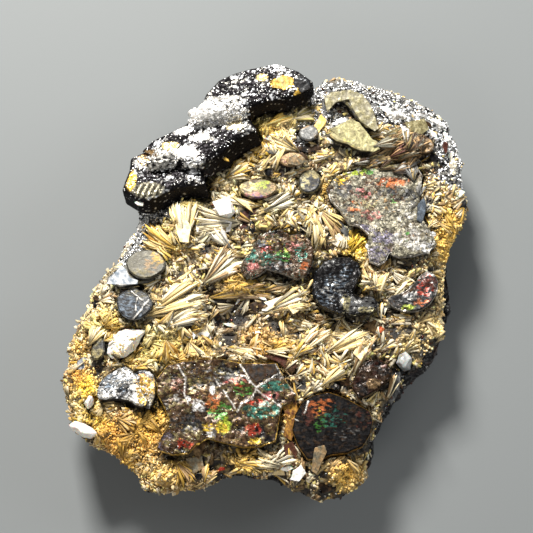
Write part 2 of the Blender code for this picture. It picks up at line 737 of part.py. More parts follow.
def grains(specimen, helpers):
    pockets = []
    for name, spec in GRAINS.items():
        made = grain_hull(name, spec["outline"], spec["height"], 0.0, specimen)
        made.data.materials.append(material("quartz"))
        pocket = grain_hull(name + "_pocket", spec["outline"], spec["height"] + GAP, GAP, helpers)
        pockets.append(pocket)
    return pockets


def main():
    clear_scene()
    specimen = collection_named("rutile_on_hematite")
    helpers = collection_named("helpers")

    hematite_slab(specimen)
    mat = rutile_mat(specimen)
    for index in range(len(SHEAVES)):
        fan = sheaf(index, helpers)
        apply_boolean(mat, fan, "UNION")
        bpy.data.objects.remove(fan)

    pockets = []
    for name, spec in PLATES.items():
        finish = spec["finish"]
        pockets += grown_together(name, spec["plates"], plate_solids, finish, specimen, helpers)
    for name, specs in CRYSTALS.items():
        pockets += grown_together(name, specs, crystal_solids, "hematite", specimen, helpers)
    pockets += grains(specimen, helpers)

    for pocket in pockets:
        apply_boolean(mat, pocket, "DIFFERENCE")
        bpy.data.objects.remove(pocket)
    drop_islands(mat)
    mat.data.materials.clear()
    mat.data.materials.append(material("rutile"))

    for obj in specimen.objects:
        obj.matrix_world = Matrix.Translation(Vector(ORIGIN_SHIFT) * MM) @ obj.matrix_world


main()
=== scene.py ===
# Rutile on hematite, lying on its back on a plain grey floor, seen from above
import json
import math
import random

import bpy
import numpy as np
from mathutils import Matrix, Vector, noise
from mathutils.bvhtree import BVHTree

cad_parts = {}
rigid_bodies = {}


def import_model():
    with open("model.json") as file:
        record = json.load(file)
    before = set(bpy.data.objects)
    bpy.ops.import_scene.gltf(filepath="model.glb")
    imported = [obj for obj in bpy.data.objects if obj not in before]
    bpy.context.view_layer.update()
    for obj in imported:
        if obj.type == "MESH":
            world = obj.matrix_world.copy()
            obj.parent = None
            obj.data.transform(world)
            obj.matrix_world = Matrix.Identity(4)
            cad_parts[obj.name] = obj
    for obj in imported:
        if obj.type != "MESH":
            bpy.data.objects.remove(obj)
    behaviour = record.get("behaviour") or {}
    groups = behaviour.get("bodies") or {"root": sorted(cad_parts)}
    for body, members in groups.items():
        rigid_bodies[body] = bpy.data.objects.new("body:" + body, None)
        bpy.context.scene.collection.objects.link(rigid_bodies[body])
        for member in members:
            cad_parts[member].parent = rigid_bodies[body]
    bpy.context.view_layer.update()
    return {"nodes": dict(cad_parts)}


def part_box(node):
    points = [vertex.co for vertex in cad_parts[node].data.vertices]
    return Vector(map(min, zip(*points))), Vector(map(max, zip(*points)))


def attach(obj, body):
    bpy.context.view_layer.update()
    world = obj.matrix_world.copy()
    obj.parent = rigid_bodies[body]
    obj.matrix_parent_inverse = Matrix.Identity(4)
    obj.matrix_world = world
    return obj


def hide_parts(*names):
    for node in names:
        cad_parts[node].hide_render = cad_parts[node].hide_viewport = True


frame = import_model()
print("frame loaded")

mm = 0.001

# How a pixel of the 533 x 533 photograph lands on the face of the specimen
photo = {
    "mmPerPixel": 0.094,
    "middle": (268, 280),      # the pixel over the origin, before the shift below
    "elevation": 80,           # degrees, looking up the +Y way
    "faceLevel": 7.5,          # mm over the floor
    "shift": (0.1, -0.3),      # mm, as the CAD is shifted
}

cameraSettings = {"lens": 100, "sensor": 36, "frameWidth": 50.1, "aim": (-0.04, 0.99)}

lightSettings = {
    "world": (0.66, 0.66, 0.64, 0.18),                       # colour and strength
    # name: place in mm, size in mm, power in W, colour
    "keyLight": ((-50, 165, 150), 55, 1.42, (1.0, 0.97, 0.92)),
    "rightLight": ((190, 60, 110), 90, 0.20, (0.95, 0.98, 1.0)),
    "frontLight": ((-90, -170, 130), 120, 0.2, (1.0, 0.97, 0.93)),
}

# Named colours, linear
colours = {
    "white": (0.92, 0.90, 0.86),
    "cream": (0.95, 0.81, 0.52),
    "ivory": (0.96, 0.86, 0.64),
    "lemon": (0.93, 0.76, 0.26),
    "straw": (0.90, 0.67, 0.29),
    "gold": (0.85, 0.53, 0.10),
    "yellow": (0.88, 0.58, 0.05),
    "ochre": (0.60, 0.31, 0.05),
    "tan": (0.50, 0.32, 0.15),
    "umber": (0.085, 0.045, 0.02),
    "black": (0.012, 0.011, 0.012),
    "darkGrey": (0.05, 0.052, 0.055),
    "grey": (0.20, 0.20, 0.195),
    "ash": (0.52, 0.50, 0.46),
    "stone": (0.50, 0.46, 0.34),
    "oliveGrey": (0.19, 0.175, 0.125),
    "lilac": (0.19, 0.17, 0.24),
    "silver": (0.72, 0.73, 0.75),
    "blueGrey": (0.16, 0.20, 0.25),
    "olive": (0.27, 0.22, 0.09),
    "paleOlive": (0.44, 0.39, 0.21),
    "celery": (0.80, 0.74, 0.38),
    "green": (0.10, 0.33, 0.06),
    "lime": (0.48, 0.60, 0.05),
    "teal": (0.04, 0.20, 0.15),
    "red": (0.55, 0.06, 0.03),
    "orange": (0.72, 0.20, 0.06),
    "pink": (0.62, 0.22, 0.20),
    "purple": (0.17, 0.12, 0.26),
    "redBrown": (0.14, 0.045, 0.03),
}


def spot(px, py, z=photo["faceLevel"]):
    # the place in mm that a pixel shows, at a height over the floor
    lift = math.radians(photo["elevation"])
    across = (px - photo["middle"][0]) * photo["mmPerPixel"]
    up = (photo["middle"][1] - py) * photo["mmPerPixel"]
    up = (up - math.cos(lift) * (z - photo["faceLevel"])) / math.sin(lift)
    return across + photo["shift"][0], up + photo["shift"][1]


# Camera, lights and floor

def makeCamera():
    s = cameraSettings
    distance = s["frameWidth"] * s["lens"] / s["sensor"]
    lift = math.radians(photo["elevation"])
    back = Vector((0, -math.cos(lift), math.sin(lift)))
    aim = Vector((s["aim"][0], s["aim"][1], photo["faceLevel"]))
    bpy.ops.object.camera_add(location=(aim + back * distance) * mm)
    camera = bpy.context.object
    camera.name = "photoCamera"
    camera.rotation_euler = (-back).to_track_quat("-Z", "Y").to_euler()
    camera.data.lens = s["lens"]
    camera.data.sensor_width = s["sensor"]
    camera.data.clip_start = 0.005
    camera.data.clip_end = 10
    bpy.context.scene.camera = camera


def makeLights():
    for name in ("keyLight", "rightLight", "frontLight"):
        place, size, power, colour = lightSettings[name]
        bpy.ops.object.light_add(type="AREA", location=Vector(place) * mm)
        light = bpy.context.object
        light.name = name
        light.rotation_euler = (-Vector(place)).to_track_quat("-Z", "Y").to_euler()
        light.data.size = size * mm
        light.data.energy = power
        light.data.color = colour
    world = bpy.data.worlds.new("studioWorld")
    world.use_nodes = True
    red, green, blue, strength = lightSettings["world"]
    world.node_tree.nodes["Background"].inputs["Color"].default_value = (red, green, blue, 1)
    world.node_tree.nodes["Background"].inputs["Strength"].default_value = strength
    bpy.context.scene.world = world
    bpy.context.scene.view_settings.view_transform = "Standard"


def deselectAll():
    for thing in list(bpy.context.selected_objects):
        thing.select_set(False)


def selectOnly(piece):
    deselectAll()
    piece.select_set(True)
    bpy.context.view_layer.objects.active = piece


def finishWith(piece, kind, **settings):
    # adds a modifier and applies it
    selectOnly(piece)
    modifier = piece.modifiers.new(kind.lower(), kind)
    for key, value in settings.items():
        setattr(modifier, key, value)
    bpy.ops.object.modifier_apply(modifier=modifier.name)


# Materials

class Shader:
    # a Principled material, and short ways to add nodes to it
    def __init__(self, name):
        self.material = bpy.data.materials.new(name)
        self.material.use_nodes = True
        self.nodes = self.material.node_tree.nodes
        self.links = self.material.node_tree.links
        self.main = self.nodes["Principled BSDF"]
        self.place = self.nodes.new("ShaderNodeTexCoord").outputs["Object"]

    def set(self, **values):
        for name, value in values.items():
            self.main.inputs[name.replace("_", " ")].default_value = value

    def noise(self, scale, detail=4.0, roughness=0.55, vector=None):
        node = self.nodes.new("ShaderNodeTexNoise")
        node.inputs["Scale"].default_value = scale
        node.inputs["Detail"].default_value = detail
        node.inputs["Roughness"].default_value = roughness
        self.links.new(vector or self.place, node.inputs["Vector"])
        return node.outputs["Fac"]

    def cells(self, scale, output="Distance"):
        node = self.nodes.new("ShaderNodeTexVoronoi")
        node.inputs["Scale"].default_value = scale
        self.links.new(self.place, node.inputs["Vector"])
        return node.outputs[output]

    def ramp(self, value, low, high, fromValue=0.0, toValue=1.0):
        node = self.nodes.new("ShaderNodeMapRange")
        node.inputs["From Min"].default_value = low
        node.inputs["From Max"].default_value = high
        node.inputs["To Min"].default_value = fromValue
        node.inputs["To Max"].default_value = toValue
        self.links.new(value, node.inputs["Value"])
        return node.outputs["Result"]

    def mix(self, factor, first, second, blend="MIX"):
        node = self.nodes.new("ShaderNodeMix")
        node.data_type = "RGBA"
        node.blend_type = blend
        for socket, value in ((node.inputs[0], factor), (node.inputs[6], first), (node.inputs[7], second)):
            if isinstance(value, (int, float)):
                socket.default_value = value
            elif isinstance(value, tuple):
                socket.default_value = (*value, 1)
            else:
                self.links.new(value, socket)
        return node.outputs[2]

    def attribute(self, name="tint"):
        node = self.nodes.new("ShaderNodeAttribute")
        node.attribute_name = name
        return node.outputs["Color"]

    def stretched(self, scale, source="Object"):
        coordinates = self.nodes.new("ShaderNodeTexCoord")
        node = self.nodes.new("ShaderNodeMapping")
        node.inputs["Scale"].default_value = scale
        self.links.new(coordinates.outputs[source], node.inputs["Vector"])
        return node.outputs["Vector"]

    def bump(self, height, distance, strength=1.0):
        node = self.nodes.new("ShaderNodeBump")
        node.inputs["Distance"].default_value = distance
        node.inputs["Strength"].default_value = strength
        self.links.new(height, node.inputs["Height"])
        self.links.new(node.outputs["Normal"], self.main.inputs["Normal"])

    def drive(self, socket, value):
        self.links.new(value, self.main.inputs[socket])


def rutileBladeFinish():
    # golden blades, striped along their length
    shader = Shader("rutileBlades")
    grain = shader.noise(1.0, 3.0, 0.6, shader.stretched((3.0, 16.0, 1.0), "UV"))
    stripes = shader.ramp(grain, 0.32, 0.68, 0.7, 1.2)
    shader.drive("Base Color", shader.mix(1.0, shader.attribute(), stripes, "MULTIPLY"))
    shader.drive("Roughness", shader.ramp(grain, 0.3, 0.7, 0.3, 0.55))
    shader.bump(grain, 0.00006, 0.7)
    shader.set(Metallic=0.05, IOR=1.45)
    return shader.material


def crumbFinish():
    shader = Shader("rutileCrumbs")
    grain = shader.noise(5200, 3.0)
    speckle = shader.ramp(grain, 0.3, 0.7, 0.6, 1.4)
    shader.drive("Base Color", shader.mix(0.45, shader.attribute(), speckle, "MULTIPLY"))
    shader.drive("Roughness", shader.ramp(grain, 0.3, 0.7, 0.3, 0.6))
    shader.bump(grain, 0.00004, 0.6)
    shader.set(Metallic=0.05, IOR=1.6)
    return shader.material


def matFinish():
    # the crust under the blades: rusty, dark in its pits
    shader = Shader("rutileCrust")
    fine = shader.noise(3600, 6.0, 0.75)
    pits = shader.cells(2600)
    colour = shader.mix(0.9, shader.attribute(), shader.ramp(fine, 0.4, 0.58, 0.12, 1.7), "MULTIPLY")
    colour = shader.mix(0.5, colour, shader.ramp(pits, 0.15, 0.5, 1.5, 0.3), "MULTIPLY")
    shader.drive("Base Color", colour)
    shader.drive("Roughness", shader.ramp(fine, 0.3, 0.7, 0.45, 0.75))
    shader.bump(fine, 0.00022, 0.9)
    shader.set(IOR=1.6)
    return shader.material


def hematiteFinish():
    # granular grey-black metal, with a rusty dusting
    shader = Shader("granularHematite")
    fine = shader.noise(4200, 6.0, 0.72)
    patches = shader.noise(420, 4.0, 0.6)
    dark = shader.mix(shader.ramp(fine, 0.5, 0.72), colours["black"], colours["grey"])
    rust = shader.mix(shader.ramp(fine, 0.45, 0.6), colours["umber"], colours["redBrown"])
    shader.drive("Base Color", shader.mix(shader.ramp(patches, 0.56, 0.7, 0.0, 0.75), dark, rust))
    shader.drive("Roughness", shader.ramp(fine, 0.35, 0.7, 0.28, 0.62))
    shader.drive("Metallic", shader.ramp(patches, 0.45, 0.7, 0.85, 0.2))
    shader.bump(fine, 0.00016, 0.9)
    return shader.material


def crystalFinish():
    # thick crystals: painted tint, glossy where it is black
    shader = Shader("crystalHematite")
    fine = shader.noise(5200, 5.0, 0.7)
    tint = shader.attribute()
    shader.drive("Base Color", shader.mix(0.7, tint, shader.ramp(fine, 0.38, 0.62, 0.45, 1.3), "MULTIPLY"))
    shader.drive("Roughness", shader.ramp(fine, 0.3, 0.7, 0.16, 0.42))
    shader.bump(fine, 0.00005, 0.5)
    shader.set(Metallic=0.6, Specular_IOR_Level=0.15, Specular_Tint=(0.12, 0.12, 0.13, 1))
    return shader.material


def plateFinish(name, metallic, roughness, speckle):
    # thin plates: painted tint with a fine tarnish over it
    shader = Shader(name)
    fine = shader.noise(3000, 5.0, 0.65)
    specks = shader.noise(7500, 3.0, 0.6)
    tint = shader.mix(speckle, shader.attribute(), shader.ramp(fine, 0.35, 0.65, 0.3, 1.5), "MULTIPLY")
    tint = shader.mix(speckle, tint, shader.ramp(specks, 0.38, 0.62, 0.3, 1.7), "MULTIPLY")
    shader.drive("Base Color", tint)
    shader.drive("Roughness", shader.ramp(fine, 0.3, 0.7, roughness - 0.06, roughness + 0.18))
    shader.bump(specks, 0.00003, 0.5)
    shader.set(Metallic=metallic, IOR=1.4)
    return shader.material


def druseFinish():
    shader = Shader("hematiteGrains")
    grain = shader.noise(3800, 2.0)
    speckle = shader.ramp(grain, 0.3, 0.7, 0.5, 1.2)
    shader.drive("Base Color", shader.mix(0.3, shader.attribute(), speckle, "MULTIPLY"))
    shader.drive("Roughness", shader.ramp(grain, 0.3, 0.7, 0.16, 0.34))
    shader.set(Metallic=0.7)
    return shader.material


def quartzFinish(name, dark, pale):
    shader = Shader(name)
    cloud = shader.noise(900, 4.0)
    stain = shader.ramp(shader.noise(1500, 3.0), 0.58, 0.72, 0.0, 0.6)
    milk = shader.mix(shader.ramp(cloud, 0.35, 0.65), dark, pale)
    shader.drive("Base Color", shader.mix(stain, milk, (0.55, 0.40, 0.17)))
    shader.drive("Roughness", shader.ramp(cloud, 0.3, 0.7, 0.2, 0.42))
    shader.bump(cloud, 0.00008, 0.6)
    shader.set(IOR=1.54, Subsurface_Weight=0.25, Subsurface_Scale=0.0006)
    return shader.material


floorSettings = {"size": 3.0, "dark": (0.160, 0.172, 0.175), "pale": (0.170, 0.182, 0.186)}


def floorFinish():
    shader = Shader("paleFloor")
    cloud = shader.ramp(shader.noise(9, 3.0), 0.3, 0.7)
    shader.drive("Base Color", shader.mix(cloud, floorSettings["dark"], floorSettings["pale"]))
    shader.set(Roughness=0.75)
    return shader.material


def makeFloor():
    deselectAll()
    bpy.ops.mesh.primitive_plane_add(size=floorSettings["size"])
    floor = bpy.context.object
    floor.name = "floor"
    floor.data.materials.append(floorFinish())


makeCamera()
makeLights()
makeFloor()
print("camera, lights and floor ready")


# Meshes from and to arrays

def pointsOf(piece):
    flat = np.empty(len(piece.data.vertices) * 3)
    piece.data.vertices.foreach_get("co", flat)
    return flat.reshape(-1, 3)


def normalsOf(piece):
    flat = np.empty(len(piece.data.vertices) * 3)
    piece.data.vertices.foreach_get("normal", flat)
    return flat.reshape(-1, 3)


def movePoints(piece, points):
    piece.data.vertices.foreach_set("co", points.reshape(-1))
    piece.data.update()


def paint(piece, tint):
    layer = piece.data.color_attributes.new("tint", "FLOAT_COLOR", "POINT")
    layer.data.foreach_set("color", np.c_[tint, np.ones(len(tint))].reshape(-1))


def blend(tint, colour, share):
    # the tint drawn towards a named colour, or an array of colours, by a share at each point
    toward = np.array(colours[colour]) if isinstance(colour, str) else colour
    return tint * (1 - share)[:, None] + toward * share[:, None]


def roughen(points, size, octaves=3, seed=0.0):
    # fractal noise at each point, about -1 to 1, size in mm
    shift = Vector((seed, seed * 1.7, -seed))
    scale = 1 / (size * mm)
    made = [noise.fractal(Vector(p) * scale + shift, 0.9, 2.1, octaves) for p in points]
    return np.array(made)


def copyOfNode(nodeName, pieceName):
    piece = bpy.data.objects.new(pieceName, frame["nodes"][nodeName].data.copy())
    bpy.context.scene.collection.objects.link(piece)
    piece.data.materials.clear()
    selectOnly(piece)
    bpy.ops.object.mode_set(mode="EDIT")
    bpy.ops.mesh.select_all(action="SELECT")
    bpy.ops.mesh.remove_doubles(threshold=0.002 * mm)
    bpy.ops.object.mode_set(mode="OBJECT")
    return piece


def smoothShade(piece, angle=40):
    selectOnly(piece)
    bpy.ops.object.shade_smooth_by_angle(angle=math.radians(angle))


def joinPieces(pieces, name):
    selectOnly(pieces[0])
    for piece in pieces:
        piece.select_set(True)
    bpy.ops.object.join()
    joined = bpy.context.object
    joined.name = name
    return joined


def settle(piece, finish, slotName, *nodes):
    # gives a piece its finish, and its place in the frame
    piece.data.materials.clear()
    piece.data.materials.append(finish)
    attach(piece, "root")
    if nodes:
        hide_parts(*nodes)


# The hematite slab, sizes in mm

slabSettings = {"voxel": 0.26, "roughness": 0.34, "seamOverlap": 0.45}


def makeSlab():
    slab = copyOfNode("hematite_slab", "hematiteSlab")
    points = pointsOf(slab)
    # the top is lifted into the mat, so that no gap shows
    top = normalsOf(slab)[:, 2] > 0.25
    points[top, 2] += slabSettings["seamOverlap"] * mm
    movePoints(slab, points)
    finishWith(slab, "REMESH", mode="VOXEL", voxel_size=slabSettings["voxel"] * mm)
    points, normals = pointsOf(slab), normalsOf(slab)
    lumps = roughen(points, 1.7, 4, 1.0) + 0.5 * np.abs(roughen(points, 0.6, 3, 2.0))
    foot = np.clip(points[:, 2] / (0.5 * mm), 0.0, 1.0)
    lift = slabSettings["roughness"] * mm * (lumps - 0.35) * foot
    points += normals * lift[:, None]
    points[:, 2] = np.maximum(points[:, 2], 0.0)
    movePoints(slab, points)
    smoothShade(slab, 35)
    settle(slab, hematiteFinish(), "hematite", "hematite_slab")
    return slab


slab = makeSlab()
print("slab made", len(slab.data.polygons))


# The thick crystals at the upper left

crystalSettings = {
    "voxel": 0.12, "grain": 0.1,
    # pixel, reach across and up in pixels, colour
    "patches": [
        (217, 116, 30, 9, "white"), (188, 150, 17, 7, "white"), (236, 124, 10, 7, "cream"),
        (225, 97, 15, 4, "ash"), (182, 126, 12, 5, "white"), (160, 152, 12, 6, "ash"),
        (200, 136, 12, 5, "white"), (246, 168, 22, 9, "black"), (232, 144, 16, 13, "black"),
        (206, 147, 12, 8, "black"), (290, 96, 14, 5, "black"), (303, 80, 10, 9, "darkGrey"),
        (175, 185, 20, 6, "black"), (282, 81, 12, 8, "gold"), (300, 92, 6, 6, "gold"),
        (170, 143, 10, 6, "straw"), (146, 152, 9, 6, "tan"), (130, 178, 6, 12, "gold"),
        (140, 160, 6, 6, "straw"), (262, 73, 6, 5, "straw"),
    ],
    "striations": (148, 190, 16, 9), "stripesPerMm": 1.9, "stripeDepth": 0.06,
    # walls that are granular like the tops: pixel, reach across and up
    "seams": [(215, 112, 34, 10), (155, 160, 24, 9), (185, 168, 22, 8), (205, 105, 12, 8)],
}


def reachOf(points, px, py, across, up, z):
    # 0 at a pixel, 1 at the reach around it
    x, y = spot(px, py, z)
    step = photo["mmPerPixel"]
    return ((points[:, 0] / mm - x) / (across * step)) ** 2 + ((points[:, 1] / mm - y) / (up * step)) ** 2


def makeThickCrystals():
    c = crystalSettings
    crystals = copyOfNode("thick_crystals", "thickCrystals")
    finishWith(crystals, "REMESH", mode="VOXEL", voxel_size=c["voxel"] * mm)
    points, normals = pointsOf(crystals), normalsOf(crystals)
    upper = np.clip((normals[:, 2] - 0.6) / 0.15, 0, 1)
    for seam in c["seams"]:
        upper = np.maximum(upper, np.clip(2.2 - 2 * reachOf(points, *seam, 8.6), 0, 1))
    grain = roughen(points, 0.3, 3, 7.0)
    broad = roughen(points, 1.5, 3, 8.0)
    striped = np.clip(2.4 - 2 * reachOf(points, *c["striations"], 9.0), 0, 1) * upper
    along = (points[:, 0] * 0.93 - points[:, 1] * 0.36) / mm * math.tau * c["stripesPerMm"]
    lift = c["grain"] * grain * upper * (1 - striped) + 0.07 * broad * (0.4 + 0.6 * upper)
    lift += striped * c["stripeDepth"] * np.sign(np.sin(along))
    points += normals * (lift * mm)[:, None]
    movePoints(crystals, points)

    # bright grains crowd together here and there, the rest is black. The pale specks are grain colour and
    # painted sparkle, light caught by the grains; only the tops get them
    crowd = np.clip(0.36 + 0.85 * broad, 0, 1) * upper
    speck = np.clip((grain + crowd - 0.5) * 2.6, 0, 1) * upper
    pale = np.where(roughen(points, 0.9, 2, 9.5)[:, None] > 0.1, colours["ash"], colours["silver"])
    tint = blend(np.array(colours["black"]), pale, speck)
    wander = roughen(points, 0.8, 3, 9.0)
    for px, py, across, up, colour in c["patches"]:
        away = reachOf(points, px, py, across, up, 9.0)
        tint = blend(tint, colour, np.clip((1.0 - away + 0.7 * wander + 0.25 * grain) * 3, 0, 1) * upper)
    stripes = np.array(colours["stone"]) * (0.12 + 0.8 * (np.sin(along) > 0.1))[:, None]
    tint = blend(tint, stripes, striped)
    glints = (roughen(points, 0.22, 1, 9.9) > 0.52)[:, None] * (1 - upper[:, None]) * 0.3
    paint(crystals, np.clip(tint + glints, 0, 1))
    smoothShade(crystals, 30)
    settle(crystals, crystalFinish(), "hematite", "thick_crystals")
    return crystals


thickCrystals = makeThickCrystals()
print("thick crystals made")


